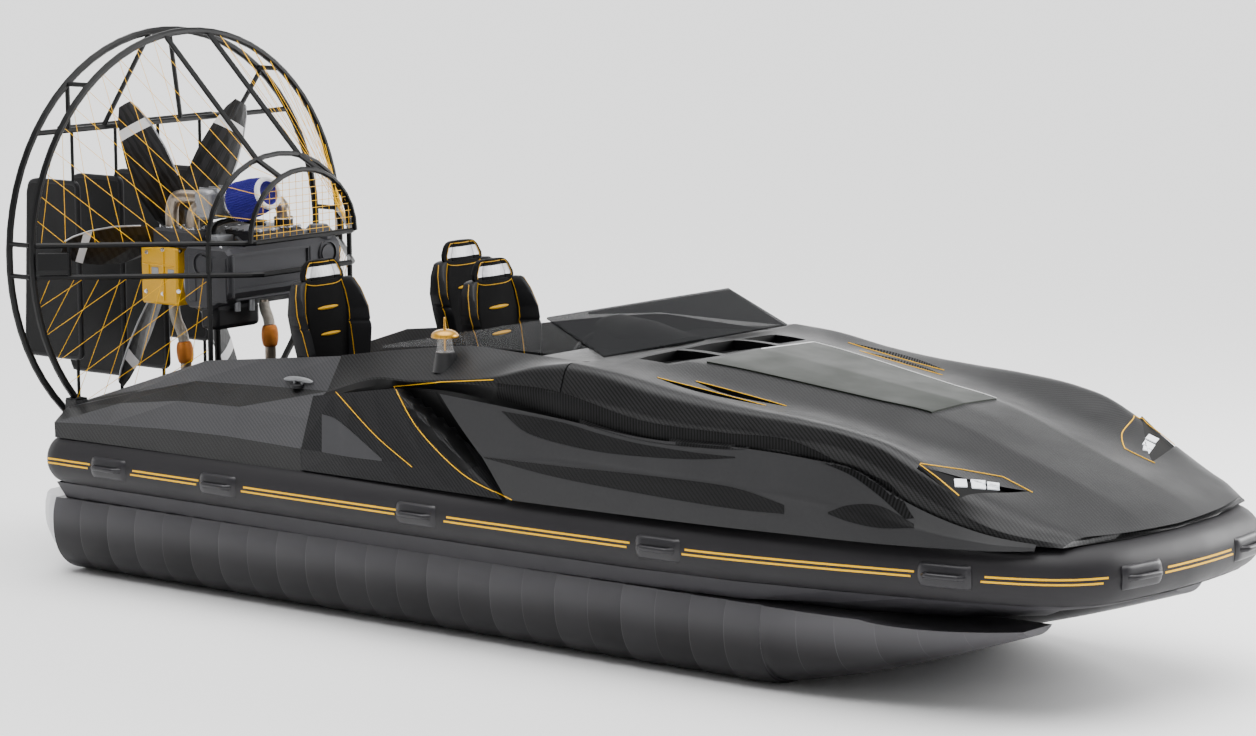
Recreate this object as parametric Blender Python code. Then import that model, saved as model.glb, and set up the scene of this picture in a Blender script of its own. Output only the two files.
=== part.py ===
"""Airboat on two skid-plated sponsons: aft propeller in a tube cage, four rudders, three seats.

Units are metres. Stations run along X from the plane of the cage's front ring (0) to the bow
(positive), half-breadths along Y (port positive) and heights along Z from the ground.
Each object is placed MID_X aft of its station, which puts the origin under the middle of
the boat's overall length.
"""

import math
from math import cos, pi, radians, sin

import bmesh
import bpy
from mathutils import Matrix, Vector

# Overall placing
MID_X = 3.221
GAP = 0.0006

# Inflated collar tube
TUBE_RADIUS = 0.155
TUBE_SIDES = 16
TUBE_Z = 0.715
TUBE_BOW_RISE = 0.042
TUBE_RISE_FROM = 4.5
TUBE_RISE_TO = 6.9
TUBE_STERN_X = 0.13
# Half plan of the tube's centre line from the stern to the bow: station, half-breadth
TUBE_PLAN = (
    (TUBE_STERN_X, 1.105), (1.2, 1.115), (2.4, 1.125), (3.5, 1.125), (4.5, 1.105), (5.2, 1.085),
    (5.8, 1.045), (6.3, 0.985), (6.6, 0.935), (6.846, 0.860), (7.0, 0.770), (7.085, 0.660),
    (7.125, 0.540), (7.150, 0.360), (7.165, 0.180),
)

# Hull tray between the tubes
TRAY_TOP_Z = 0.870
TRAY_STERN_X = 0.02
# Profile of the tray's edge below and inside the tube: inward offset, height above tube centre
TRAY_PROFILE = (
    (0.100, -0.248), (0.005, -0.248), (-0.070, -0.142), (0.0, -0.1615), (0.084, -0.141), (0.142, -0.082),
    (0.1625, 0.0), (0.1625, 0.100),
)

# Rise of the tray's lower band towards the bow
BAND_LIFT = 0.080
BAND_LIFT_FROM = 5.3
BAND_LIFT_TO = 6.5
# Inward shift of the tray's lowest edge towards the bow
KEEL_TUCK = 0.45
KEEL_TUCK_FROM = 6.0
KEEL_TUCK_TO = 7.1

# Raised pads whose tops stay free: equipment pad, locker pad, step pad
PAD_HEIGHT = 0.012
EQUIPMENT_PAD = ((0.96, -0.34), (1.20, 0.34))
LOCKER_PAD = ((1.31, -0.30), (1.56, 0.30))
STEP_PAD = ((-0.42, -0.12), (-0.14, 0.12))

# Sponsons
SPONSON_Y = 0.82
SPONSON_RADIUS = 0.33
SPONSON_Z = 0.34
SPONSON_TOP_Z = 0.4655
SPONSON_SIDES = 16
BILGE_FULLNESS = 0.80
SCALE_PITCH = 0.235
SCALE_STEP = 0.013
SCALE_COUNT = 23
SPONSON_STERN_X = -0.05
# Sponson's bow ahead of the scales: station, half-breadth of centre, radius, rise of keel
SPONSON_BOW = (
    (5.45, 0.82, 0.325, 0.040), (5.75, 0.815, 0.315, 0.105), (6.05, 0.800, 0.295, 0.185),
    (6.35, 0.775, 0.265, 0.275), (6.60, 0.740, 0.225, 0.355), (6.80, 0.700, 0.180, 0.420),
)
TAIL_CONE_TIP_X = -0.34

# Deck sides, one row a station: station, lower crease height, upper crease half-breadth and
# height, top crease half-breadth and height, deck height at the inner edge
STERN_DECK = (
    (-0.05, 0.938, 1.070, 1.005, 0.970, 1.010, 1.020),
    (0.50, 0.966, 1.085, 1.080, 0.960, 1.130, 1.190),
    (1.00, 0.988, 1.090, 1.140, 0.950, 1.240, 1.350),
    (1.50, 0.995, 1.090, 1.150, 0.950, 1.260, 1.405),
    (2.10, 0.980, 1.090, 1.130, 0.960, 1.280, 1.470),
)
STERN_CORNER = 0.095
DECK_EDGE_STERN_Y = 1.203
DECK_EDGE_STERN_Z = 0.848
WELL_HALF_BREADTH = 0.860

# Cockpit sides beside the seats: station, inner edge, coaming height, shoulder half-breadth
# and height, foot half-breadth of the side panel
COCKPIT_SIDE = (
    (2.106, 0.860, 1.475, 0.980, 1.290, 1.060),
    (2.50, 0.850, 1.535, 1.005, 1.400, 1.0285),
    (2.80, 0.842, 1.575, 1.040, 1.415, 1.0048),
    (3.05, 0.835, 1.605, 1.055, 1.440, 0.985),
    (3.45, 0.820, 1.595, 1.050, 1.490, 1.000),
    (3.70, 0.812, 1.588, 1.040, 1.560, 1.045),
    (3.94, 0.805, 1.580, 1.020, 1.608, 1.070),
)

# Side panels under the fender ridge: station, edge half-breadth and height, bulge
# half-breadth and height, top half-breadth and height
SIDE_PANEL = (
    (3.08, 1.250, 0.862, 1.215, 1.050, 1.100, 1.370),
    (3.95, 1.250, 0.866, 1.225, 1.100, 1.119, 1.319),
    (4.60, 1.235, 0.868, 1.210, 1.090, 1.120, 1.268),
    (5.20, 1.230, 0.876, 1.200, 1.085, 1.115, 1.280),
    (5.70, 1.208, 0.883, 1.182, 1.070, 1.108, 1.262),
    (5.95, 1.195, 0.886, 1.168, 1.040, 1.098, 1.235),
    (6.20, 1.172, 0.890, 1.146, 1.000, 1.080, 1.120),
    (6.55, 1.110, 0.898, 1.090, 0.950, 1.050, 1.010),
    (6.80, 1.040, 0.904, 1.025, 0.930, 1.000, 0.960),
    (6.95, 0.950, 0.908, 0.942, 0.922, 0.930, 0.938),
)
# Stations of the intake's two slanted edges at the foot, the bulge and the top
INTAKE_FORE = (3.70, 3.50, 3.08)
INTAKE_AFT = (3.66, 3.38, 2.73)
QUARTER_STERN_X = 2.106
SIDE_PANEL_ROOT = 0.004
SIDE_PANEL_LIP = 0.012

# Bow deck: station, edge half-breadth and height, groove half-breadth and height, ridge
# half-breadth and height, valley half-breadth and height, hood-panel edge half-breadth and
# height, centre height
BOW_DECK = (
    (3.95, 1.080, 0.916, 1.080, 1.450, 1.020, 1.608, 0.800, 1.585, 0.560, 1.592, 1.600),
    (4.22, 1.085, 0.916, 1.085, 1.430, 1.035, 1.588, 0.770, 1.565, 0.520, 1.600, 1.612),
    (4.60, 1.090, 0.916, 1.090, 1.385, 1.035, 1.528, 0.723, 1.520, 0.470, 1.575, 1.590),
    (4.90, 1.090, 0.918, 1.090, 1.370, 1.035, 1.498, 0.705, 1.475, 0.430, 1.540, 1.555),
    (5.20, 1.090, 0.920, 1.090, 1.372, 1.035, 1.480, 0.692, 1.430, 0.388, 1.500, 1.515),
    (5.50, 1.085, 0.926, 1.085, 1.360, 1.035, 1.466, 0.680, 1.385, 0.345, 1.460, 1.475),
    (5.86, 1.072, 0.932, 1.072, 1.330, 1.035, 1.428, 0.650, 1.320, 0.300, 1.412, 1.422),
    (6.06, 1.065, 0.935, 1.065, 1.262, 1.030, 1.388, 0.635, 1.278, 0.286, 1.358, 1.365),
    (6.28, 1.055, 0.939, 1.055, 1.165, 1.020, 1.290, 0.605, 1.232, 0.270, 1.283, 1.287),
    (6.55, 1.030, 0.940, 1.030, 1.060, 0.960, 1.165, 0.560, 1.150, 0.250, 1.192, 1.192),
    (6.80, 0.985, 0.930, 0.980, 0.985, 0.880, 1.060, 0.520, 1.068, 0.238, 1.088, 1.088),
    (6.95, 0.915, 0.926, 0.905, 0.955, 0.830, 1.005, 0.500, 1.002, 0.230, 1.012, 1.012),
    (7.05, 0.845, 0.918, 0.825, 0.932, 0.740, 0.962, 0.450, 0.948, 0.220, 0.944, 0.940),
)
BOW_DECK_ROOT_Z = 0.916
BOW_CURVE = 0.134
BOW_CURVE_FROM = 6.5
BOW_CURVE_BREADTH = 0.845

# Hood slots: half-breadths of the leaf's edge at the rear and fore tip, stations of the tips
HOOD_SLOTS = (((4.60, 0.728, 1.520), (5.19, 0.700, 1.437)), ((4.43, 0.845, 1.545), (5.13, 0.800, 1.452)))
SLOT_HALF_WIDTH = 0.027
SLOT_DEPTH = 0.055
# Recesses behind the hood panel: half-breadths of each one's two ends, stations, depth
COWL_RECESSES = ((-0.60, -0.27), (-0.22, 0.22), (0.27, 0.60))
COWL_REAR_X = 4.10
COWL_FORE_X = 4.42
COWL_DEPTH = 0.055

# Cockpit
FLOOR_TOP_Z = 0.955
COCKPIT_STERN_X = 1.27
COCKPIT_BOW_X = 3.94
DASH_STERN_X = 3.42

# Windscreen: base corner, top corner and aft end of the side glass
GLASS_THICKNESS = 0.012
SCREEN_BASE = (4.02, 0.800, 1.6150)
SCREEN_TOP = (3.60, 0.790, 1.792)
SIDE_GLASS_AFT = (2.46, 0.880, 1.545)

# Seats: station and half-breadth of the backrest's face at the top
SEAT_PLACES = {"driver": (2.49, 0.0), "rear_starboard": (1.70, -0.60), "rear_port": (1.70, 0.60)}
SEAT_TOP_Z = 1.970
SEAT_HIP_Z = 1.180
SEAT_LEAN = 0.10
SEAT_BASE_HALF = 0.20
CUSHION_HALF = 0.23
CUSHION_THICKNESS = 0.12
# Backrest from the hip up: height, half-width, wing depth, thickness
SEAT_BACK = (
    (1.100, 0.215, 0.030, 0.120), (1.220, 0.235, 0.050, 0.120), (1.400, 0.250, 0.105, 0.120),
    (1.560, 0.285, 0.110, 0.115), (1.675, 0.300, 0.085, 0.110), (1.780, 0.275, 0.050, 0.105),
    (1.854, 0.235, 0.020, 0.095), (1.858, 0.172, 0.006, 0.085), (1.886, 0.182, 0.022, 0.090),
    (1.936, 0.168, 0.020, 0.080), (1.970, 0.110, 0.004, 0.055),
)
CUSHION_LENGTH = 0.50

# Cage
CAGE_Z = 1.90
CAGE_RADIUS = 1.30
RING_TUBE = 0.022
RAIL_TUBE = 0.017
RING_AFT_X = -0.20
RING_FOOT_Z = 1.045
RAIL_HIGH_Z = 2.00
RAIL_LOW_Z = 1.81
POST_X = 0.77
POST_Y = 0.60
# Corners of the guard's nose: station and half-breadth on the high and the low rail
NOSE_HIGH = (0.97, 0.445)
NOSE_LOW = (0.995, 0.410)
REAR_ARCH_TOP_Z = 2.49
NOSE_ARCH_TOP_Z = 2.405
TOP_BAR_Y = 0.18
SHORT_POST_SHARE = 0.21
# Ring struts above the crossbar: half-breadth of foot and of top; bars between the rings
REAR_STRUTS = ((-0.80, -0.80), (-0.52, -0.11), (0.13, 0.05), (0.61, 0.83))
SPACER_Z = 2.92
ARM_DROP = 0.012
ARM_Y = 0.605
CROSSBAR_Z = 2.64
FOOT_HALF = 0.045
FOOT_THICKNESS = 0.010

# Propeller
PROP_X = -0.085
PROP_RADIUS = 0.985
PROP_BLADES = 6
PROP_PHASE_DEG = 57.0
HUB_RADIUS = 0.085
HUB_HALF_LENGTH = 0.055

# Rudders: post half-breadth, bottom height
RUDDER_POST_X = -0.46
RUDDER_POST_R = 0.011
RUDDER_PLACES = {
    "starboard_outer": (-0.54, 1.200), "starboard_inner": (-0.18, 1.060),
    "port_inner": (0.18, 1.060), "port_outer": (0.54, 1.200),
}
RUDDER_TOP_Z = 2.285
RUDDER_FORE = 0.040
RUDDER_AFT_TOP = 0.400
RUDDER_AFT_FOOT = 0.450
RUDDER_THICKNESS = 0.034
PLATFORM_TOP_Z = 0.860
PLATFORM_THICKNESS = 0.060
PLATFORM_FORE_X = -0.0212

# Beacon's foot on the starboard coaming
BEACON_FOOT = (2.985, -0.945, 1.578)

# Headlight recess: rear, inner and outer corners on the starboard fender
LAMP_CORNERS = ((6.300, 1.020, 1.305), (6.645, 0.560, 1.114), (6.533, 1.000, 1.149))

# Engine block: stations and heights of its side outline, half-breadth
ENGINE_OUTLINE = (
    (0.42, 1.610), (0.45, 1.580), (0.64, 1.580), (0.79, 1.655), (0.82, 1.690), (0.82, 1.925),
    (0.79, 1.955), (0.45, 1.955), (0.42, 1.925),
)
ENGINE_HALF = 0.475
ENGINE_CHAMFER = 0.025
ENGINE_TOP_Z = 1.955
ENGINE_FOOT_Z = 1.580
COVER_TOP_Z = 2.030
GEARBOX = ((0.008, -0.435, 1.575), (0.325, 0.300, 1.925))
BELL_CENTRE = (-0.19, 1.72)
BELL_RADIUS = 0.195
INTAKE_Y = -0.330
INTAKE_STATIONS = (0.185, 0.365)
DUCT = ((0.400, -0.360, 2.100), (0.535, -0.090, 2.280))
FILTER_FOOT = (0.585, -0.170, 2.195)
FILTER_AIM = (0.96, 0.0, 0.27)
EXHAUST_RADIUS = 0.026
STAND_LEGS = ((0.48, -0.26), (0.61, 0.40))


def material(name, rgb, roughness, metallic=0.0):
    """Principled material with one colour."""
    made = bpy.data.materials.new(name)
    made.use_nodes = True
    shader = made.node_tree.nodes["Principled BSDF"]
    shader.inputs["Base Color"].default_value = (*rgb, 1.0)
    shader.inputs["Roughness"].default_value = roughness
    shader.inputs["Metallic"].default_value = metallic
    made.diffuse_color = (*rgb, 1.0)
    return made


def add(name, bm, look, at=(0.0, 0.0, 0.0), sharp_deg=32.0):
    """Object from a bmesh in stations, with its origin at the station point `at`."""
    bmesh.ops.recalc_face_normals(bm, faces=bm.faces)
    bmesh.ops.translate(bm, verts=bm.verts, vec=-Vector(at))
    mesh = bpy.data.meshes.new(name)
    bm.to_mesh(mesh)
    bm.free()
    mesh.materials.append(look)
    mesh.shade_smooth()
    mesh.set_sharp_from_angle(angle=radians(sharp_deg))
    obj = bpy.data.objects.new(name, mesh)
    obj.location = Vector(at) - Vector((MID_X, 0.0, 0.0))
    bpy.context.scene.collection.objects.link(obj)
    return obj


def ramp(value, start, end):
    """Share of the way from start to end, held between 0 and 1."""
    return min(max((value - start) / (end - start), 0.0), 1.0)


def loft(sections, closed_path=False):
    """Closed bmesh through sections with the same number of points each."""
    bm = bmesh.new()
    rows = [[bm.verts.new(point) for point in section] for section in sections]
    pairs = list(zip(rows, rows[1:]))
    if closed_path:
        pairs.append((rows[-1], rows[0]))
    for first, second in pairs:
        for i in range(len(first)):
            j = (i + 1) % len(first)
            bm.faces.new((first[i], first[j], second[j], second[i]))
    if not closed_path:
        bm.faces.new(rows[0])
        bm.faces.new(list(reversed(rows[-1])))
    bmesh.ops.recalc_face_normals(bm, faces=bm.faces)
    return bm


def box(low, high):
    """Closed bmesh box between two corners."""
    bm = bmesh.new()
    bmesh.ops.create_cube(bm, size=1.0)
    size = [b - a for a, b in zip(low, high)]
    middle = [(a + b) / 2 for a, b in zip(low, high)]
    bmesh.ops.scale(bm, vec=size, verts=bm.verts)
    bmesh.ops.translate(bm, vec=middle, verts=bm.verts)
    return bm


def bevelled(bm, width, segments=1, least_deg=40.0):
    """The bmesh with its sharp edges bevelled."""
    edges = [e for e in bm.edges if e.calc_face_angle(0.0) > radians(least_deg)]
    bmesh.ops.bevel(
        bm, geom=edges, offset=width, segments=segments, profile=0.5, affect="EDGES",
        clamp_overlap=True,
    )
    return bm


def turned(profile, axis_start, axis_end, sides=16):
    """Closed bmesh turned about an axis: profile rows are distance along it and radius."""
    start = Vector(axis_start)
    along = (Vector(axis_end) - start).normalized()
    across = along.orthogonal().normalized()
    third = along.cross(across)
    sections = [
        [
            start + along * distance
            + (across * cos(2 * pi * k / sides) + third * sin(2 * pi * k / sides)) * radius
            for k in range(sides)
        ]
        for distance, radius in profile
    ]
    return loft(sections)


def pipe(points, radius, sides=8, closed=False, radii=None):
    """Closed bmesh of a round tube along points, mitred at each of them."""
    path = [Vector(p) for p in points]
    count = len(path)
    tangents = []
    for i in range(count):
        before = path[i - 1] if closed or i > 0 else path[i]
        after = path[(i + 1) % count] if closed or i < count - 1 else path[i]
        tangents.append((after - before).normalized())
    side = tangents[0].orthogonal().normalized()
    if abs(tangents[0].z) < 0.9:
        side = tangents[0].cross(Vector((0.0, 0.0, 1.0))).normalized()
    sections = []
    for i in range(count):
        side = (side - tangents[i] * side.dot(tangents[i])).normalized()
        other = tangents[i].cross(side)
        here = radii[i] if radii else radius
        sections.append([
            path[i]
            + (side * cos(2 * pi * (k + 0.5) / sides) + other * sin(2 * pi * (k + 0.5) / sides))
            * here
            for k in range(sides)
        ])
    return loft(sections, closed_path=closed)


def arc_points(centre, radius, start_deg, end_deg, steps, x, squash=1.0):
    """Points of an arc in the plane of one station: angle from +Y towards +Z."""
    turns = [radians(start_deg + (end_deg - start_deg) * i / steps) for i in range(steps + 1)]
    return [
        (x, centre[0] + radius * cos(turn), centre[1] + radius * squash * sin(turn))
        for turn in turns
    ]


def fused(name, pieces, look, at=(0.0, 0.0, 0.0), sharp_deg=32.0, cuts=()):
    """One object: the Boolean union of closed bmeshes, less the cuts."""
    base = add(name + "_base", pieces[0], look)
    helpers = [base]
    operations = [("UNION", piece) for piece in pieces[1:]]
    operations += [("DIFFERENCE", piece) for piece in cuts]
    for number, (operation, piece) in enumerate(operations):
        helper = add(f"{name}_piece_{number}", piece, look)
        helper.hide_render = True
        helpers.append(helper)
        modifier = base.modifiers.new(f"{operation.lower()} {number}", "BOOLEAN")
        modifier.operation = operation
        modifier.solver = "EXACT"
        modifier.object = helper
    bpy.context.view_layer.update()
    graph = bpy.context.evaluated_depsgraph_get()
    bm = bmesh.new()
    bm.from_mesh(base.evaluated_get(graph).to_mesh())
    for helper in helpers:
        mesh = helper.data
        bpy.data.objects.remove(helper)
        bpy.data.meshes.remove(mesh)
    bmesh.ops.remove_doubles(bm, verts=bm.verts, dist=0.00001)
    return add(name, bm, look, at, sharp_deg)


def mirrored(points):
    """The same points on the other side of the centre plane."""
    return [(x, -y, z) for x, y, z in points]


def interpolated(table, x):
    """Row of a station table at station x, by straight lines between its rows."""
    if x <= table[0][0]:
        return (x, *table[0][1:])
    for first, second in zip(table, table[1:]):
        if x <= second[0]:
            share = (x - first[0]) / (second[0] - first[0])
            return (x, *(a + (b - a) * share for a, b in zip(first[1:], second[1:])))
    return (x, *table[-1][1:])


def tube_height(x):
    """Height of the collar tube's centre line at a station."""
    share = (x - TUBE_RISE_FROM) / (TUBE_RISE_TO - TUBE_RISE_FROM)
    share = min(max(share, 0.0), 1.0)
    return TUBE_Z + TUBE_BOW_RISE * share * share * (3 - 2 * share)


def tube_path():
    """Centre line of the collar tube from the starboard stern round the bow to port."""
    starboard = [(x, -y, tube_height(x)) for x, y in TUBE_PLAN]
    bow = [(7.170, 0.0, tube_height(7.17))]
    return starboard + bow + [(x, -y, z) for x, y, z in reversed(starboard)]


def plan_normals(path):
    """Unit vectors in plan that point inboard from each point of the tube's centre line."""
    normals = []
    for i, _ in enumerate(path):
        before = Vector(path[max(i - 1, 0)])
        after = Vector(path[min(i + 1, len(path) - 1)])
        along = (after - before).to_2d().normalized()
        normals.append(Vector((-along.y, along.x, 0.0)))
    return normals


HANDLE_STATIONS = (0.588, 1.509, 3.098, 4.745, 6.499)
HANDLE_HALF = 0.10


def handle_places():
    """Point on the tube's outer line, outward direction and direction along, per handle."""
    path = tube_path()
    normals = plan_normals(path)
    places = []
    for i, (first, second) in enumerate(zip(path, path[1:])):
        for target in HANDLE_STATIONS:
            low, high = sorted((first[0], second[0]))
            if low < target <= high and abs(first[1]) > 0.7:
                share = (target - first[0]) / (second[0] - first[0])
                middle = Vector(first).lerp(Vector(second), share)
                inward = normals[i].lerp(normals[i + 1], share).normalized()
                places.append((middle, -inward))
        for target in (-0.474, 0.474):
            if first[1] < target <= second[1] and first[0] > 7.0:
                share = (target - first[1]) / (second[1] - first[1])
                middle = Vector(first).lerp(Vector(second), share)
                inward = normals[i].lerp(normals[i + 1], share).normalized()
                places.append((middle, -inward))
    return places


def handle(middle, outward):
    """Pad and grip of one grab handle on the collar tube."""
    along = Vector((-outward.y, outward.x, 0.0))
    up = Vector((0.0, 0.0, 1.0))
    frame = Matrix((
        (along.x, outward.x, up.x, middle.x), (along.y, outward.y, up.y, middle.y),
        (along.z, outward.z, up.z, middle.z), (0.0, 0.0, 0.0, 1.0),
    ))
    pad = bevelled(box((-0.125, 0.120, -0.045), (0.125, TUBE_RADIUS + 0.010, 0.045)), 0.010)
    reach = TUBE_RADIUS + 0.042
    grip = pipe(
        [(-0.095, TUBE_RADIUS - 0.010, 0.0), (-0.070, reach, 0.0), (0.070, reach, 0.0),
         (0.095, TUBE_RADIUS - 0.010, 0.0)], 0.014, sides=6,
    )
    for bm in (pad, grip):
        bm.transform(frame)
    return [pad, grip]


def collar(look):
    """Inflated tube with coned stern ends and its twelve grab handles."""
    path = tube_path()
    first = Vector(path[0])
    cone = ((-0.155, 0.45), (-0.143, 0.72), (-0.100, 0.93), (-0.045, 0.99))
    radii = [TUBE_RADIUS * share for _, share in cone]
    start = [first + Vector((step, 0.0, 0.0)) for step, _ in cone]
    end = [Vector((p.x, -p.y, p.z)) for p in reversed(start)]
    points = start + [Vector(p) for p in path] + end
    sizes = radii + [TUBE_RADIUS] * len(path) + radii[::-1]
    pieces = [pipe(points, TUBE_RADIUS, TUBE_SIDES, radii=sizes)]
    for middle, outward in handle_places():
        pieces += handle(middle, outward)
    fused("collar_tube", pieces, look)


def tray(look):
    """Hull tray: its edge follows the tube's centre line, with a band under the tube."""
    path = [Vector(p) for p in tube_path()]
    normals = plan_normals(path)
    for end, sign in ((0, 1.0), (-1, -1.0)):
        path[end].x = TRAY_STERN_X
        normals[end] = Vector((0.0, sign, 0.0))
    rings = []
    for row, (inward, height) in enumerate(TRAY_PROFILE):
        ring_points = []
        for point, normal in zip(path, normals):
            lift = BAND_LIFT * ramp(point.x, BAND_LIFT_FROM, BAND_LIFT_TO) if row == 1 else 0.0
            level = tube_height(0.0) if row == 0 else point.z
            tuck = KEEL_TUCK * ramp(point.x, KEEL_TUCK_FROM, KEEL_TUCK_TO) if row == 0 else 0.0
            ring_points.append(Vector((point.x, point.y, level + height + lift))
                               + normal * (inward + tuck))
        rings.append(ring_points)
    rings.append([Vector((p.x, p.y, TRAY_TOP_Z)) for p in rings[-1]])
    fused("hull_tray", [loft(rings)], look)


def sponson_section(x, y, radius, keel, sign):
    """Points of a sponson's round underside, flat on top under the tray."""
    middle = keel + radius
    top = SPONSON_TOP_Z
    lift = min(max((top - middle) / radius, -0.98), 0.98)
    start = math.asin(lift)
    sweep = pi + 2 * start
    turns = [start - sweep * i / SPONSON_SIDES for i in range(SPONSON_SIDES + 1)]
    points = []
    for turn in turns:
        out, down = cos(turn), sin(turn)
        if down < 0.0:
            out = math.copysign(abs(out) ** BILGE_FULLNESS, out)
            down = -(abs(down) ** BILGE_FULLNESS)
        points.append((x, sign * (y + radius * out), middle + radius * down))
    return points


def sponson(name, sign, look):
    """Flotation tube whose skid scales each step down to the next one's front."""
    sections = []
    for number in range(SCALE_COUNT):
        aft = SPONSON_STERN_X + SCALE_PITCH * number
        fore = aft + SCALE_PITCH * 0.985
        sections.append(sponson_section(aft, SPONSON_Y, SPONSON_RADIUS, 0.0, sign))
        shrunk = SPONSON_RADIUS - SCALE_STEP
        sections.append(sponson_section(fore, SPONSON_Y, shrunk, SCALE_STEP, sign))
    for x, y, radius, rise in SPONSON_BOW:
        sections.append(sponson_section(x, y, radius, rise, sign))
    add(name, loft(sections), look)


def tail_cone(name, sign, look):
    """Rounded aft cap of a sponson."""
    start = SPONSON_STERN_X - GAP
    length = start - TAIL_CONE_TIP_X
    steps = ((0.0, 0.30), (0.30, 0.285), (0.60, 0.235), (0.85, 0.150), (1.0, 0.055))
    sections = []
    for share, radius in steps:
        x = start - length * share
        keel = SPONSON_Z - radius + 0.045 * share
        sections.append(sponson_section(x, SPONSON_Y, radius, keel, sign))
    add(name, loft(sections), look)


def deck_underside(x, edge_y):
    """Underside points from the well's wall outward, clear of the tray and of the tube."""
    tube_y = interpolated(TUBE_PLAN, x)[1]
    over_tube = tube_height(x) + TUBE_RADIUS + 0.0015
    low = TRAY_TOP_Z + GAP
    outer_y = min(tube_y + 0.04, edge_y)
    return [(tube_y - 0.17, low), (tube_y - 0.165, over_tube), (outer_y, over_tube)]


def stern_deck(name, sign, look):
    """Side deck beside the engine and the rear seats, raised towards the cockpit."""
    sections = []
    for x, low_z, up_y, up_z, top_y, top_z, inner_z in STERN_DECK:
        under = deck_underside(x, DECK_EDGE_STERN_Y)
        profile = [(WELL_HALF_BREADTH, under[0][1])] + under
        profile += [
            (DECK_EDGE_STERN_Y - 0.004, DECK_EDGE_STERN_Z), (DECK_EDGE_STERN_Y, low_z),
            (up_y, up_z), (top_y, top_z), (WELL_HALF_BREADTH, inner_z),
        ]
        corner = STERN_CORNER if x == STERN_DECK[0][0] else 0.0
        width = DECK_EDGE_STERN_Y - WELL_HALF_BREADTH
        sections.append([
            (x + corner * (y - WELL_HALF_BREADTH) / width, sign * y, z) for y, z in profile
        ])
    foot_y = on_ring(RING_FOOT_Z)
    low = (-FOOT_HALF, min(sign * (foot_y - 0.05), sign * (foot_y + 0.05)), 0.95)
    high = (FOOT_HALF, max(sign * (foot_y - 0.05), sign * (foot_y + 0.05)), RING_FOOT_Z)
    fused(name, [loft(sections), box(low, high)], look)


def cockpit_side(name, sign, look):
    """Wall between the cockpit and the side panel, with the coaming on top."""
    sections = []
    for x, inner_y, inner_z, shoulder_y, shoulder_z, foot_y in COCKPIT_SIDE:
        under = deck_underside(x, foot_y)
        panel_top = interpolated(SIDE_PANEL, x)[6]
        profile = [(inner_y, under[0][1])] + under[:2]
        profile += [
            (foot_y, under[1][1]), (foot_y, min(panel_top, shoulder_z - 0.05)),
            (shoulder_y, shoulder_z),
            (inner_y, inner_z),
        ]
        sections.append([(x, sign * y, z) for y, z in profile])
    pieces = [loft(sections)]
    if sign < 0:
        x, y, z = BEACON_FOOT
        pieces.append(box((x - 0.06, y - 0.055, z - 0.12), (x + 0.06, y + 0.055, z)))
    fused(name, pieces, look)


def wall_breadth(x):
    """Half-breadth of the cockpit side's or the bow deck's outer wall at a station."""
    if x >= BOW_DECK[0][0]:
        return interpolated(BOW_DECK, x)[1]
    return interpolated(COCKPIT_SIDE, x)[5]


def skin_profile(stations, edge, bulge, top):
    """Section of a side skin: foot, bulge and top each at a station of its own."""
    foot_x, bulge_x, top_x = stations
    foot_root = wall_breadth(foot_x) + SIDE_PANEL_ROOT
    top_root = wall_breadth(top_x) + SIDE_PANEL_ROOT
    clear = tube_height(foot_x) + TUBE_RADIUS + 0.0015
    tube_y = interpolated(TUBE_PLAN, foot_x)[1]
    return [
        (foot_x, foot_root, clear), (foot_x, max(tube_y + 0.045, foot_root + 0.002), clear),
        (foot_x, edge[0], max(edge[1], clear - 0.012)), (bulge_x, *bulge), (top_x, *top),
        (top_x, top_root, top[1] - SIDE_PANEL_LIP),
    ]


def side_panel(name, sign, look):
    """Bulged skin from the deck edge up to the groove under the fender ridge."""
    sections = []
    for number, row in enumerate(SIDE_PANEL):
        stations = INTAKE_FORE if number == 0 else (row[0],) * 3
        profile = skin_profile(stations, row[1:3], row[3:5], row[5:7])
        sections.append([(x, sign * y, z) for x, y, z in profile])
    add(name, loft(sections), look)


def stern_quarter_panel(name, sign, look):
    """Skin between the stern deck and the slanted edge of the side intake."""
    sections = []
    for share in (0.0, 0.25, 0.5, 0.75, 1.0):
        stations = [QUARTER_STERN_X + (x - QUARTER_STERN_X) * share for x in INTAKE_AFT]
        edge = (1.205 + 0.035 * share, 0.856)
        bulge = (1.205 - 0.005 * share, 0.980)
        top = (1.100, 1.270 + 0.098 * share)
        profile = skin_profile(stations, edge, bulge, top)
        sections.append([(x, sign * y, z) for x, y, z in profile])
    add(name, loft(sections), look)


def lamp_wedge(sign, scale, top, depth):
    """Triangular prism of a headlight, from `top` above its corners down by `depth`."""
    corners = [Vector(c) for c in LAMP_CORNERS]
    middle = sum(corners, Vector()) / 3
    corners = [middle + (c - middle) * scale for c in corners]
    normal = (corners[1] - corners[0]).cross(corners[2] - corners[0]).normalized()
    if normal.z < 0:
        normal.negate()
    rows = []
    for height in (top, top - depth):
        rows.append([c + normal * height for c in corners])
    return loft([[(p.x, sign * p.y, p.z) for p in row] for row in rows])


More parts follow.
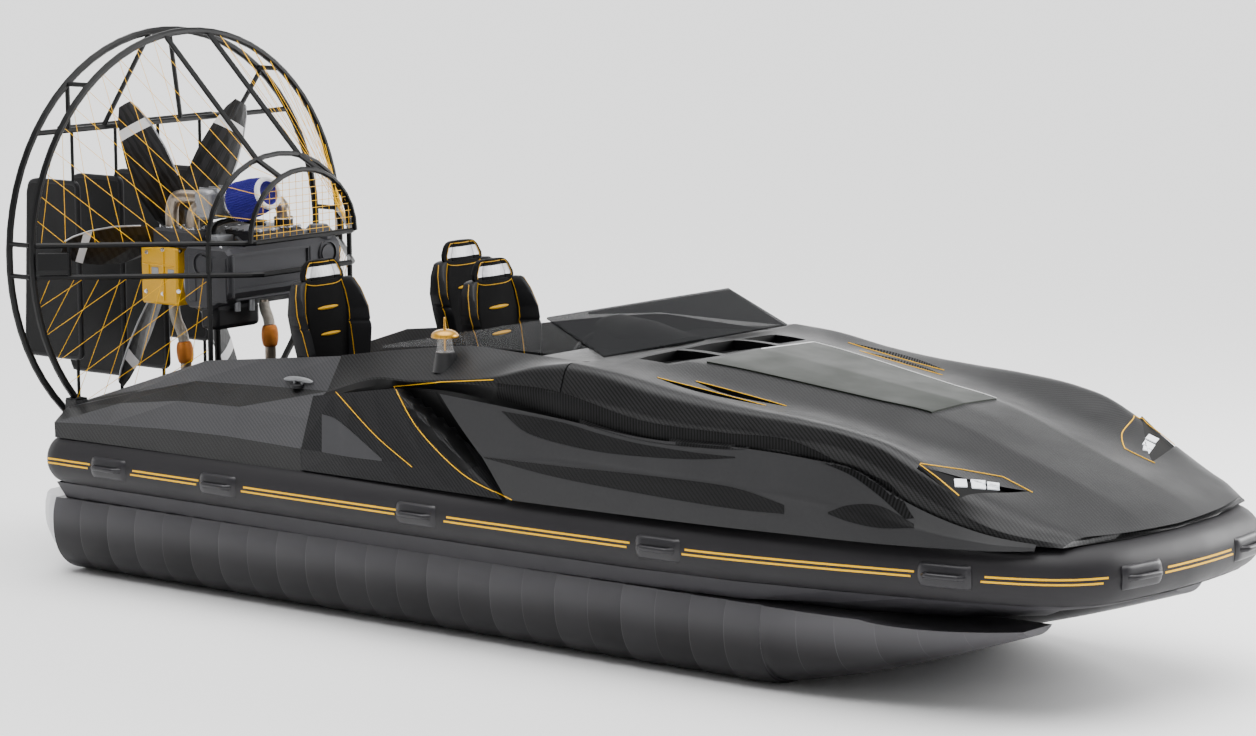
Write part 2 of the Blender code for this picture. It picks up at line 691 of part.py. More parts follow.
def bow_deck(look):
    """Decked bow with two fender ridges and a raised hood between them."""
    sections = []
    for row in BOW_DECK:
        x, edge_y, edge_z, groove_y, groove_z, ridge_y, ridge_z = row[:7]
        valley_y, valley_z, panel_y, panel_z, centre_z = row[7:]
        half = [
            (0.0, BOW_DECK_ROOT_Z), (edge_y * 0.5, BOW_DECK_ROOT_Z), (edge_y, edge_z),
            (groove_y + 0.0005, groove_z), (ridge_y, ridge_z), (valley_y, valley_z),
            (panel_y, panel_z), (panel_y * 0.55, centre_z - 0.003), (0.0, centre_z),
        ]
        bend = BOW_CURVE * (max(0.0, x - BOW_CURVE_FROM) / (BOW_DECK[-1][0] - BOW_CURVE_FROM)) ** 1.5
        right = [
            (x + bend * max(0.0, 1 - (y / BOW_CURVE_BREADTH) ** 2), -y, z) for y, z in half
        ]
        left = mirrored(right[1:-1])
        sections.append(right + left[::-1])
    cuts = [lamp_wedge(sign, 1.0, 0.12, 0.21) for sign in (-1, 1)]
    cuts += [hood_slot(tips, sign) for sign in (-1, 1) for tips in HOOD_SLOTS]
    cuts += [cowl_recess(*ends) for ends in COWL_RECESSES]
    fused("bow_deck", [loft(sections)], look, cuts=cuts)


def hood_slot(tips, sign):
    """Leaf-shaped cutter of an intake slot, pointed at both tips and sunk into the deck."""
    (aft_x, aft_y, aft_z), (fore_x, fore_y, fore_z) = tips
    shares = (0.0, 0.15, 0.35, 0.6, 0.82, 1.0)
    inner = []
    outer = []
    for share in shares:
        x = aft_x + (fore_x - aft_x) * share
        y = aft_y + (fore_y - aft_y) * share
        z = aft_z + (fore_z - aft_z) * share
        half = SLOT_HALF_WIDTH * sin(pi * min(max(share, 0.04), 0.96)) + 0.001
        inner.append((x, sign * (y - half * 0.2), z))
        outer.append((x, sign * (y + half * 1.8), z))
    outline = inner + outer[::-1]
    return loft([[(x, y, z - SLOT_DEPTH) for x, y, z in outline],
                 [(x, y, z + 0.15) for x, y, z in outline]])


def cowl_recess(low_y, high_y):
    """Wedge cutter whose floor falls away aft, between the screen and the hood."""
    top = 1.75
    side = [
        (COWL_REAR_X, 1.605 - COWL_DEPTH), (COWL_REAR_X + 0.04, 1.605 - COWL_DEPTH),
        (COWL_FORE_X, 1.601), (COWL_FORE_X, top), (COWL_REAR_X, top),
    ]
    return loft([[(x, y, z) for x, z in side] for y in (low_y, high_y)])


def hood_panel(look):
    """Glass plate on the raised hood."""
    corners = []
    for x in (4.47, 4.60, 4.90, 5.20, 5.50, 5.84):
        row = interpolated(BOW_DECK, x)
        panel_y, panel_z, centre_z = row[9:]
        corners.append((x, panel_y * 0.97, panel_z, centre_z))
    sections = []
    for x, y, edge_z, centre_z in corners:
        lift = 0.0035
        top = lift + 0.008
        sections.append([
            (x, -y, edge_z + lift), (x, -y * 0.55, centre_z + lift), (x, y * 0.55, centre_z + lift),
            (x, y, edge_z + lift), (x, y, edge_z + top), (x, y * 0.55, centre_z + top),
            (x, -y * 0.55, centre_z + top), (x, -y, edge_z + top),
        ])
    add("hood_glass_panel", loft(sections), look)


def plate(corners, thickness):
    """Closed bmesh plate through coplanar corners, thickened along its normal."""
    points = [Vector(c) for c in corners]
    normal = (points[1] - points[0]).cross(points[2] - points[0]).normalized()
    return loft([points, [p + normal * thickness for p in points]])


def glazing(look):
    """Raked windscreen and two side glasses."""
    base_x, base_y, base_z = SCREEN_BASE
    top_x, top_y, top_z = SCREEN_TOP
    screen = plate(
        [(base_x, -base_y, base_z), (base_x, base_y, base_z), (top_x, top_y, top_z),
         (top_x, -top_y, top_z)], GLASS_THICKNESS,
    )
    add("windscreen", screen, look)
    aft_x, aft_y, aft_z = SIDE_GLASS_AFT
    for name, sign in (("side_glass_starboard", -1), ("side_glass_port", 1)):
        outer = [
            (base_x - 0.03, base_y + 0.004, base_z + 0.001), (top_x, top_y + 0.004, top_z),
            (aft_x, aft_y, aft_z + 0.02), (aft_x, aft_y, aft_z + 0.006),
            (3.05, 0.850, 1.6115), (3.60, 0.826, 1.6115),
        ]
        sections = [
            [(x, sign * (y + shift), z) for x, y, z in outer] for shift in (0.0, GLASS_THICKNESS)
        ]
        add(name, loft(sections), look)


def raised_pad(plan, level):
    """Low flat pad on a deck."""
    (low_x, low_y), (high_x, high_y) = plan
    return box((low_x, low_y, level - 0.01), (high_x, high_y, level + PAD_HEIGHT))


def floors(look_floor, look_dash):
    """Engine deck, cockpit floor and dash."""
    low = TRAY_TOP_Z + GAP
    half = WELL_HALF_BREADTH - 0.002
    deck = box((-0.02, -half, low), (COCKPIT_STERN_X - 0.02, half, FLOOR_TOP_Z))
    fused("engine_deck", [deck, raised_pad(EQUIPMENT_PAD, FLOOR_TOP_Z)], look_floor)
    half = 0.800
    floor = box((COCKPIT_STERN_X, -half, low), (COCKPIT_BOW_X, half, FLOOR_TOP_Z))
    fused("cockpit_floor", [floor, raised_pad(LOCKER_PAD, FLOOR_TOP_Z)], look_floor)
    dash = box((DASH_STERN_X, -0.795, 1.26), (COCKPIT_BOW_X, 0.795, 1.585))
    for vert in dash.verts:
        if vert.co.x < 3.6:
            vert.co.z += 0.06 if vert.co.z < 1.35 else -0.03
    hump = box((DASH_STERN_X + 0.02, -0.30, 1.50), (3.90, 0.30, 1.66))
    for vert in hump.verts:
        if vert.co.z > 1.6:
            vert.co.y *= 0.62
            vert.co.z -= 0.05 if vert.co.x > 3.7 else 0.0
    leg = box((3.60, -0.12, FLOOR_TOP_Z + GAP), (COCKPIT_BOW_X, 0.12, 1.35))
    fused("dash_panel", [dash, hump, leg], look_dash)


def seat(label, place, look_base, look_cushion, look_back):
    """Bucket seat: pedestal, cushion, winged back and headrest."""
    top_x, middle_y = place
    hip_x = top_x + SEAT_LEAN
    front = hip_x + CUSHION_LENGTH
    base = box((hip_x - 0.04, middle_y - SEAT_BASE_HALF, FLOOR_TOP_Z + GAP),
               (front - 0.06, middle_y + SEAT_BASE_HALF, SEAT_HIP_Z - 0.10))
    add(f"seat_{label}_base", bevelled(base, 0.015), look_base)
    cushion_foot = SEAT_HIP_Z - 0.10 + GAP
    cushion = box((hip_x + 0.065, middle_y - CUSHION_HALF, cushion_foot),
                  (front, middle_y + CUSHION_HALF, cushion_foot + CUSHION_THICKNESS))
    add(f"seat_{label}_cushion", bevelled(cushion, 0.03, 2), look_cushion)
    sections = []
    for z, half, wing, thick in SEAT_BACK:
        share = (z - SEAT_HIP_Z) / (SEAT_TOP_Z - SEAT_HIP_Z)
        face = hip_x - SEAT_LEAN * max(share, 0.0)
        inner = half * 0.62
        outline = [
            (face - thick, -half * 0.75), (face - thick * 0.5, -half), (face + wing, -half * 0.98),
            (face + wing * 0.8, -half * 0.82), (face, -inner), (face, inner),
            (face + wing * 0.8, half * 0.82), (face + wing, half * 0.98),
            (face - thick * 0.5, half), (face - thick, half * 0.75),
        ]
        sections.append([(x, middle_y + y, z) for x, y in outline])
    add(f"seat_{label}_back", loft(sections), look_back)


def steering(look):
    """Steering wheel whose rim, spokes and hub turn as one on a short column."""
    centre = Vector((3.22, 0.0, 1.44))
    lean = Vector((-0.94, 0.0, 0.34)).normalized()
    across = Vector((0.0, 1.0, 0.0))
    third = lean.cross(across).normalized()
    rim_points = [
        centre + (across * cos(2 * pi * k / 20) + third * sin(2 * pi * k / 20)) * 0.165
        for k in range(20)
    ]
    rim = pipe(rim_points, 0.014, sides=6, closed=True)
    pieces = [rim]
    for turn in (24, 153, 269):
        reach = (across * cos(radians(turn)) + third * sin(radians(turn))) * 0.165
        pieces.append(pipe([centre + lean * 0.001, centre + reach], 0.009, sides=8))
    pieces.append(turned(((-0.03, 0.036), (0.025, 0.036)), centre, centre + lean, 10))
    fused("steering_wheel", pieces, look, at=tuple(centre))
    start = centre - lean * 0.0355
    end = centre - lean * 0.20
    add("steering_column", turned(((0.0, 0.022), ((end - start).length, 0.022)), start, end, 8),
        look)


def ring(x, foot_z):
    """Cage ring as an arc, with a flat plate under each foot."""
    lift = RING_TUBE * 0.8
    start = math.degrees(math.asin((foot_z + lift - CAGE_Z) / CAGE_RADIUS))
    points = arc_points((0.0, CAGE_Z), CAGE_RADIUS, start, 180 - start, 52, x)
    pieces = [pipe(points, RING_TUBE, sides=8)]
    foot_y = on_ring(foot_z)
    for sign in (-1, 1):
        low = (x - FOOT_HALF, sign * foot_y - FOOT_HALF, foot_z)
        high = (x + FOOT_HALF, sign * foot_y + FOOT_HALF, foot_z + FOOT_THICKNESS)
        pieces.append(box(low, high))
    return pieces


def on_ring(z):
    """Half-breadth of the cage ring's centre line at a height."""
    return math.sqrt(CAGE_RADIUS ** 2 - (z - CAGE_Z) ** 2)


def cage_rings(look):
    """Front ring and rear ring, the rear one with its crossbar, braces and spacers."""
    fused("cage_ring_front", ring(0.0, RING_FOOT_Z + GAP), look)
    pieces = ring(RING_AFT_X, PLATFORM_TOP_Z + GAP)
    half = on_ring(CROSSBAR_Z)
    pieces.append(pipe([(RING_AFT_X, -half, CROSSBAR_Z), (RING_AFT_X, half, CROSSBAR_Z)],
                       RAIL_TUBE, sides=8))
    for foot, top in REAR_STRUTS:
        top_z = CAGE_Z + math.sqrt(CAGE_RADIUS ** 2 - top ** 2)
        pieces.append(pipe([(RING_AFT_X, foot, CROSSBAR_Z), (RING_AFT_X, top, top_z)],
                           RAIL_TUBE * 0.9, sides=8))
    stop = -(RING_TUBE + GAP * 2)
    for height in (RAIL_LOW_Z, RAIL_HIGH_Z, SPACER_Z):
        for sign in (-1, 1):
            y = sign * on_ring(height)
            pieces.append(pipe([(RING_AFT_X, y, height), (stop, y, height)], RAIL_TUBE * 0.9,
                               sides=8))
    arm_z = CROSSBAR_Z - ARM_DROP
    for sign in (-1, 1):
        arm = [(RING_AFT_X, sign * ARM_Y, CROSSBAR_Z), (RUDDER_POST_X, sign * ARM_Y, arm_z)]
        pieces.append(pipe(arm, RAIL_TUBE * 0.7, sides=8))
    pieces.append(pipe([(RUDDER_POST_X, -ARM_Y - 0.04, arm_z), (RUDDER_POST_X, ARM_Y + 0.04, arm_z)],
                       RAIL_TUBE * 0.85, sides=8))
    fused("cage_ring_rear", pieces, look)


def guard_frame(look):
    """Side rails, posts, two arches and the bars between them, ahead of the front ring."""
    pieces = []
    for height, (nose_x, nose_y) in ((RAIL_HIGH_Z, NOSE_HIGH), (RAIL_LOW_Z, NOSE_LOW)):
        side = on_ring(height)
        away = Vector((POST_X, side - POST_Y)).normalized() * (RING_TUBE + 0.0014)
        half = [(away.x, side - away.y), (POST_X, POST_Y), (nose_x - 0.035, nose_y + 0.018),
                (nose_x, nose_y - 0.035)]
        path = [(x, -y, height) for x, y in half] + [(x, y, height) for x, y in half[::-1]]
        pieces.append(pipe(path, RAIL_TUBE, sides=8))
    rail_y = on_ring((RAIL_HIGH_Z + RAIL_LOW_Z) / 2)
    for sign in (-1, 1):
        pieces.append(pipe([(POST_X, sign * POST_Y, FLOOR_TOP_Z + 0.0008),
                            (POST_X, sign * POST_Y, RAIL_HIGH_Z)], RAIL_TUBE, sides=8))
        y = rail_y + (POST_Y - rail_y) * SHORT_POST_SHARE
        pieces.append(pipe([(POST_X * SHORT_POST_SHARE, sign * y, RAIL_LOW_Z),
                            (POST_X * SHORT_POST_SHARE, sign * y, RAIL_HIGH_Z)],
                           RAIL_TUBE * 0.8, sides=6))
        pieces.append(rail_lamp(sign, rail_y))
    arches = ((POST_X, POST_Y, REAR_ARCH_TOP_Z), (*NOSE_HIGH, NOSE_ARCH_TOP_Z))
    for x, half, top in arches:
        height = top - RAIL_HIGH_Z
        points = [
            (x - (0.002 if x > POST_X else 0.0), -half * cos(pi * i / 16),
             RAIL_HIGH_Z + height * sin(pi * i / 16))
            for i in range(17)
        ]
        pieces.append(pipe(points, RAIL_TUBE, sides=8))
    tops = [RAIL_HIGH_Z + (top - RAIL_HIGH_Z) * math.sqrt(1 - (TOP_BAR_Y / half) ** 2)
            for _, half, top in arches]
    for y in (-TOP_BAR_Y, TOP_BAR_Y):
        first = Vector((0.0, y, CAGE_Z + math.sqrt(CAGE_RADIUS ** 2 - y * y)))
        second = Vector((POST_X, y, tops[0]))
        clear = first + (second - first).normalized() * (RING_TUBE * 1.25)
        pieces.append(pipe([clear, second, (NOSE_HIGH[0], y, tops[1])], RAIL_TUBE, sides=8))
    fused("cage_guard_frame", pieces, look)


def rail_lamp(sign, rail_y):
    """Box lamp between the rails, from near the ring to the short post."""
    rows = []
    for share in (0.035, SHORT_POST_SHARE):
        x = POST_X * share
        y = rail_y + (POST_Y - rail_y) * share
        rows.append([
            (x - 0.014, sign * (y - 0.016), RAIL_LOW_Z + 0.045),
            (x + 0.014, sign * (y + 0.016), RAIL_LOW_Z + 0.045),
            (x + 0.014, sign * (y + 0.016), RAIL_HIGH_Z - 0.045),
            (x - 0.014, sign * (y - 0.016), RAIL_HIGH_Z - 0.045),
        ])
    return loft(rows)


def blade(turn_deg):
    """One twisted blade: sections along the radius with chord and pitch."""
    # share of radius, chord, pitch angle in degrees, thickness
    rows = (
        (0.07, 0.100, -50.0, 0.046), (0.20, 0.190, -42.0, 0.036), (0.42, 0.280, -31.0, 0.024),
        (0.62, 0.270, -26.0, 0.018), (0.80, 0.220, -22.0, 0.013), (0.93, 0.150, -20.0, 0.010),
        (1.0, 0.080, -19.0, 0.008),
    )
    turn = radians(turn_deg)
    radial = Vector((0.0, cos(turn), sin(turn)))
    around = Vector((0.0, -sin(turn), cos(turn)))
    axis = Vector((1.0, 0.0, 0.0))
    centre = Vector((PROP_X, 0.0, CAGE_Z))
    sections = []
    for share, chord, pitch, thick in rows:
        angle = radians(pitch)
        along = around * cos(angle) + axis * sin(angle)
        normal = axis * cos(angle) - around * sin(angle)
        shape = ((-0.5, 0.0), (-0.28, 0.42), (0.05, 0.5), (0.5, 0.0), (0.05, -0.5), (-0.28, -0.42))
        sections.append([
            centre + radial * (PROP_RADIUS * share) + along * (chord * u) + normal * (thick * v)
            for u, v in shape
        ])
    return loft(sections)


def propeller(look):
    """Hub and six blades, turning about the shaft."""
    centre = Vector((PROP_X, 0.0, CAGE_Z))
    hub = turned(
        ((0.0, HUB_RADIUS * 0.7), (0.012, HUB_RADIUS), (2 * HUB_HALF_LENGTH - 0.01, HUB_RADIUS),
         (2 * HUB_HALF_LENGTH, HUB_RADIUS * 0.8)),
        centre + Vector((-HUB_HALF_LENGTH, 0.0, 0.0)), centre, 24,
    )
    spinner = turned(((0.0, 0.012), (0.03, 0.038), (0.08, 0.055)),
                     centre + Vector((-HUB_HALF_LENGTH - 0.06, 0.0, 0.0)), centre, 16)
    blades = [blade(PROP_PHASE_DEG + 360.0 / PROP_BLADES * k) for k in range(PROP_BLADES)]
    fused("propeller", [hub, spinner] + blades, look, at=tuple(centre))


def rudders(look, look_steel):
    """Four rudders on vertical posts, and the platform that carries them."""
    arm_z = CROSSBAR_Z - ARM_DROP
    for label, (y, foot_z) in RUDDER_PLACES.items():
        top = arm_z - RAIL_TUBE * 0.85 - 0.001
        post = pipe([(RUDDER_POST_X, y, PLATFORM_TOP_Z + 0.0008), (RUDDER_POST_X, y, top)],
                    RUDDER_POST_R, sides=8)
        fore = RUDDER_POST_X + RUDDER_FORE
        outline = [
            (fore, foot_z + 0.02), (fore, RUDDER_TOP_Z), (RUDDER_POST_X - RUDDER_AFT_TOP + 0.05,
                                                          RUDDER_TOP_Z),
            (RUDDER_POST_X - RUDDER_AFT_TOP, RUDDER_TOP_Z - 0.05),
            (RUDDER_POST_X - RUDDER_AFT_FOOT, foot_z + 0.06),
            (RUDDER_POST_X - RUDDER_AFT_FOOT + 0.03, foot_z),
        ]
        half = RUDDER_THICKNESS / 2
        body = loft([[(x, y - half, z) for x, z in outline], [(x, y + half, z) for x, z in outline]])
        fused(f"rudder_{label}", [body, post], look, at=(RUDDER_POST_X, y, PLATFORM_TOP_Z))
    foot = PLATFORM_TOP_Z - PLATFORM_THICKNESS
    wide = box((-0.27, -0.90, foot), (PLATFORM_FORE_X, 0.90, PLATFORM_TOP_Z))
    narrow = box((-0.50, -0.62, foot), (-0.22, 0.62, PLATFORM_TOP_Z))
    step = raised_pad(STEP_PAD, PLATFORM_TOP_Z)
    fused("stern_platform", [wide, narrow, step], look_steel)


def engine_body(look):
    """Engine block with its cover, sump, end covers, dome and the box under the intake pipes."""
    sections = []
    middle = Vector((0.62, 0.0, 1.77))
    for y, size in ((-ENGINE_HALF, 0.93), (-ENGINE_HALF + ENGINE_CHAMFER, 1.0),
                    (ENGINE_HALF - ENGINE_CHAMFER, 1.0), (ENGINE_HALF, 0.93)):
        sections.append([
            (middle.x + (x - middle.x) * size, y, middle.z + (z - middle.z) * size)
            for x, z in ENGINE_OUTLINE
        ])
    block = loft(sections)
    cover = bevelled(box((0.47, -0.20, ENGINE_TOP_Z - 0.05), (0.79, 0.20, COVER_TOP_Z)), 0.02)
    sump = bevelled(box((0.53, -0.45, 1.455), (0.67, -0.08, 1.640)), 0.03)
    feed_box = bevelled(box((0.10, -0.42, 1.9262), (0.46, -0.27, 2.035)), 0.012)
    side_cover = turned(((0.0, 0.060), (0.012, 0.056)), (0.595, -ENGINE_HALF + 0.004, 1.850),
                        (0.595, -2.0, 1.850), 14)
    front_cover = turned(((0.0, 0.055), (0.012, 0.051)), (0.816, 0.354, 1.860),
                         (2.0, 0.354, 1.860), 14)
    dome = turned(((0.0, 0.085), (0.05, 0.085), (0.085, 0.055)), (0.728, 0.375, 1.940),
                  (0.728, 0.375, 3.0), 14)
    recess = box((0.808, -0.425, 1.715), (0.90, 0.190, 1.905))
    fused("engine_block", [block, cover, sump, feed_box, side_cover, front_cover, dome], look,
          cuts=[recess])


def drive(look_cast, look_yellow):
    """Gearbox with its shaft boss, and the bell housing between it and the block."""
    bell = turned(((0.0, BELL_RADIUS), (0.060, BELL_RADIUS), (0.0926, BELL_RADIUS * 0.93)),
                  (GEARBOX[1][0] + GAP, *BELL_CENTRE), (1.0, *BELL_CENTRE), 20)
    add("bell_housing", bell, look_cast)
    shaft_end = PROP_X + HUB_HALF_LENGTH + 0.0055
    boss = turned(((0.0, 0.045), (0.03 - shaft_end, 0.045)), (shaft_end, 0.0, CAGE_Z),
                  (1.0, 0.0, CAGE_Z), 16)
    fused("gearbox", [bevelled(box(*GEARBOX), 0.012), boss], look_yellow)


def breathing(look_pipe, look_filter):
    """Two bent intake pipes into a duct, the bend down to the cover, and the filter."""
    pieces = []
    for station, top_z in zip(INTAKE_STATIONS, (2.225, 2.180)):
        route = [
            (station, INTAKE_Y, 2.0356), (station, INTAKE_Y, top_z - 0.10),
            (station + 0.02, INTAKE_Y, top_z - 0.04), (station + 0.07, INTAKE_Y + 0.01, top_z),
            (max(station + 0.13, DUCT[0][0] + 0.02), INTAKE_Y + 0.06, top_z),
        ]
        pieces.append(pipe(route, 0.040, sides=10))
    pieces.append(bevelled(box(*DUCT), 0.025))
    pieces.append(pipe(
        [(0.46, -0.15, 2.17), (0.46, 0.00, 2.185), (0.52, 0.07, 2.195), (0.62, 0.09, 2.195),
         (0.70, 0.08, 2.17), (0.735, 0.07, 2.11), (0.735, 0.07, COVER_TOP_Z + 0.0012)],
        0.045, sides=10,
    ))
    fused("intake_pipes", pieces, look_pipe)
    nose = Vector(FILTER_FOOT)
    profile = ((0.0, 0.075), (0.02, 0.122), (0.15, 0.116), (0.27, 0.092), (0.29, 0.078))
    add("air_filter", turned(profile, nose, nose + Vector(FILTER_AIM), 18), look_filter)


def exhausts(look):
    """Two exhaust pipes from the underside down to the engine deck."""
    foot = FLOOR_TOP_Z + 0.001
    routes = {
        "exhaust_pipe_aft": [(0.215, -0.36, GEARBOX[0][2] - 0.0008), (0.215, -0.36, 1.535),
                             (0.225, -0.354, 1.48), (0.26, -0.335, 1.40), (0.275, -0.33, 1.25), (0.275, -0.33, foot)],
        "exhaust_pipe_fore": [(0.745, -0.12, 1.6150), (0.745, -0.12, 1.57), (0.79, -0.12, 1.47),
                              (0.79, -0.12, 1.30), (0.79, -0.12, foot)],
    }
    for name, route in routes.items():
        add(name, pipe(route, EXHAUST_RADIUS, sides=10), look)


def engine_stand(look):
    """Two legs with foot plates under the block, tied by a low bar."""
    pieces = []
    for x, y in STAND_LEGS:
        plate_low = (x - 0.055, y - 0.05, FLOOR_TOP_Z + GAP)
        pieces.append(box(plate_low, (x + 0.055, y + 0.05, FLOOR_TOP_Z + 0.012)))
        pieces.append(pipe([(x, y, FLOOR_TOP_Z + 0.006), (x, y, ENGINE_FOOT_Z - GAP)], 0.020,
                           sides=8))
    tie_z = FLOOR_TOP_Z + 0.05
    pieces.append(pipe([(*STAND_LEGS[0], tie_z), (*STAND_LEGS[1], tie_z)], 0.014, sides=8))
    fused("engine_stand", pieces, look)


def fittings(look_gold, look_white):
    """Beacon and headlights."""
    beacon = turned(((0.0, 0.050), (0.010, 0.050), (0.012, 0.040), (0.050, 0.040), (0.052, 0.066),
                     (0.070, 0.064), (0.098, 0.040), (0.112, 0.020), (0.114, 0.007),
                     (0.180, 0.006)), Vector(BEACON_FOOT) + Vector((0, 0, GAP)),
                    Vector(BEACON_FOOT) + Vector((0, 0, 1)), 14)
    add("beacon", beacon, look_gold)
    for name, sign in (("headlight_starboard", -1), ("headlight_port", 1)):
        add(name, lamp_wedge(sign, 0.986, -0.028, 0.052), look_white)


def main():
    """Model the whole boat."""
    for old in list(bpy.data.objects):
        bpy.data.objects.remove(old)
    carbon = material("carbon_black", (0.018, 0.018, 0.019), 0.35)
    carbon_grey = material("carbon_grey", (0.045, 0.045, 0.047), 0.38)
    rubber = material("collar_rubber", (0.035, 0.035, 0.037), 0.55)
    scales = material("skid_scale", (0.030, 0.030, 0.030), 0.45)
    pale = material("pale_plastic", (0.45, 0.46, 0.47), 0.5)
    smoked = material("smoked_glass", (0.05, 0.055, 0.06), 0.08)
    hood_glass = material("hood_glass", (0.12, 0.13, 0.12), 0.2)
    deck_mat = material("deck_mat", (0.03, 0.03, 0.03), 0.8)
    leather = material("seat_leather", (0.03, 0.03, 0.032), 0.6)
    steel = material("cage_paint", (0.02, 0.02, 0.02), 0.35)
    dark_metal = material("engine_metal", (0.06, 0.06, 0.062), 0.45, 0.6)
    yellow = material("gearbox_yellow", (0.75, 0.42, 0.02), 0.4)
    cast = material("cast_grey", (0.22, 0.22, 0.22), 0.5, 0.7)
    pipe_steel = material("pipe_steel", (0.42, 0.36, 0.30), 0.35, 1.0)
    violet = material("filter_violet", (0.05, 0.03, 0.22), 0.5)
    copper = material("exhaust_steel", (0.45, 0.38, 0.30), 0.35, 1.0)
    gold = material("beacon_gold", (0.6, 0.38, 0.10), 0.3, 1.0)
    lamp = material("lamp_black", (0.02, 0.02, 0.02), 0.2)

    tray(rubber)
    collar(rubber)
    for side, sign in (("starboard", -1), ("port", 1)):
        sponson(f"sponson_{side}", sign, scales)
        tail_cone(f"tail_cone_{side}", sign, pale)
        stern_deck(f"stern_deck_{side}", sign, carbon_grey)
        cockpit_side(f"cockpit_side_{side}", sign, carbon_grey)
        side_panel(f"side_panel_{side}", sign, carbon)
        stern_quarter_panel(f"quarter_panel_{side}", sign, carbon)
    bow_deck(carbon_grey)
    hood_panel(hood_glass)
    floors(deck_mat, carbon)
    glazing(smoked)
    for label, place in SEAT_PLACES.items():
        seat(label, place, carbon, leather, leather)
    steering(carbon)
    cage_rings(steel)
    guard_frame(steel)
    propeller(carbon)
    rudders(carbon, steel)
    engine_body(dark_metal)
    drive(cast, yellow)
    breathing(pipe_steel, violet)
    exhausts(copper)
    engine_stand(dark_metal)
    fittings(gold, lamp)


main()
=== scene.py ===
"""Dressing of the airboat: camera, stage, light, finishes and the pieces that ride on its solids.

Lengths are metres. Places are stations: X from the plane of the cage's front ring to the bow,
Y to port and Z up from the ground. A finished piece is moved MID_X aft, to the frame's origin.
"""

import logging
from dataclasses import dataclass
from enum import Enum
from typing import Iterable, Sequence

import bmesh
import bpy
import numpy as np
from bpy.types import Material, Node, NodeSocket, NodeTree, Object, World
from mathutils import Matrix, Vector
from mathutils.bvhtree import BVHTree


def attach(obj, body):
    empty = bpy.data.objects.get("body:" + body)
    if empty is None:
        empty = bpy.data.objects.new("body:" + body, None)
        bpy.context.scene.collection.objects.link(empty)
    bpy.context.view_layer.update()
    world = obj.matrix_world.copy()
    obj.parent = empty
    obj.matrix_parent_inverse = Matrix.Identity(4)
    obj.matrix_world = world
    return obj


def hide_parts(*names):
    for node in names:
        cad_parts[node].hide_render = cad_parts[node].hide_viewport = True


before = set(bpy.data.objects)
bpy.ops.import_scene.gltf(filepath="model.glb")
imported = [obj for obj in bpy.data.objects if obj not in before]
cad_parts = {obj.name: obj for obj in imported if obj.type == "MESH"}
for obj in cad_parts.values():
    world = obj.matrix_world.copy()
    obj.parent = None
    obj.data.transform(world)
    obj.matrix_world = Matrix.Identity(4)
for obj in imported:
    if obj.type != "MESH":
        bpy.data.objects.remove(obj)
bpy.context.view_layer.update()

LOG = logging.getLogger("airboat")
MID_X = 3.221
PHOTO_SIZE = (1256, 736)
LENS_MM = 121.97
SENSOR_MM = 36.0
CAMERA_PLACE = (18.859, -18.108, 4.853)
CAMERA_YAW = 40.283
CAMERA_PITCH = 8.2255
CAMERA_ROLL = -0.5627


COLLAR_PLAN = (
    (0.13, 1.105), (1.2, 1.115), (2.4, 1.125), (3.5, 1.125), (4.5, 1.105), (5.2, 1.085),
    (5.8, 1.045), (6.3, 0.985), (6.6, 0.935), (6.846, 0.860), (7.0, 0.770), (7.085, 0.660),
    (7.125, 0.540), (7.150, 0.360), (7.165, 0.180),
)
HANDLE_STATIONS = (0.588, 1.509, 3.098, 4.745, 6.499)
BOW_ROWS = (
    (3.95, 1.080, 0.916, 1.080, 1.450, 1.020, 1.608, 0.800, 1.585, 0.560, 1.592, 1.600),
    (4.22, 1.085, 0.916, 1.085, 1.430, 1.035, 1.588, 0.770, 1.565, 0.520, 1.600, 1.612),
    (4.60, 1.090, 0.916, 1.090, 1.385, 1.035, 1.528, 0.723, 1.520, 0.470, 1.575, 1.590),
    (4.90, 1.090, 0.918, 1.090, 1.370, 1.035, 1.498, 0.705, 1.475, 0.430, 1.540, 1.555),
    (5.20, 1.090, 0.920, 1.090, 1.372, 1.035, 1.480, 0.692, 1.430, 0.388, 1.500, 1.515),
    (5.50, 1.085, 0.926, 1.085, 1.360, 1.035, 1.466, 0.680, 1.385, 0.345, 1.460, 1.475),
    (5.86, 1.072, 0.932, 1.072, 1.330, 1.035, 1.428, 0.650, 1.320, 0.300, 1.412, 1.422),
    (6.06, 1.065, 0.935, 1.065, 1.262, 1.030, 1.388, 0.635, 1.278, 0.286, 1.358, 1.365),
    (6.28, 1.055, 0.939, 1.055, 1.165, 1.020, 1.290, 0.605, 1.232, 0.270, 1.283, 1.287),
    (6.55, 1.030, 0.940, 1.030, 1.060, 0.960, 1.165, 0.560, 1.150, 0.250, 1.192, 1.192),
    (6.80, 0.985, 0.930, 0.980, 0.985, 0.880, 1.060, 0.520, 1.068, 0.238, 1.088, 1.088),
    (6.95, 0.915, 0.926, 0.905, 0.955, 0.830, 1.005, 0.500, 1.002, 0.230, 1.012, 1.012),
    (7.05, 0.845, 0.918, 0.825, 0.932, 0.740, 0.962, 0.450, 0.948, 0.220, 0.944, 0.940),
)


class Side(Enum):
    """Hand of a piece that comes in pairs, as the sign of its half-breadth."""

    STARBOARD = -1
    PORT = 1

    @property
    def label(self) -> str:
        """Word for the side in a piece's name."""
        return self.name.lower()


# ---- Mesh shapes


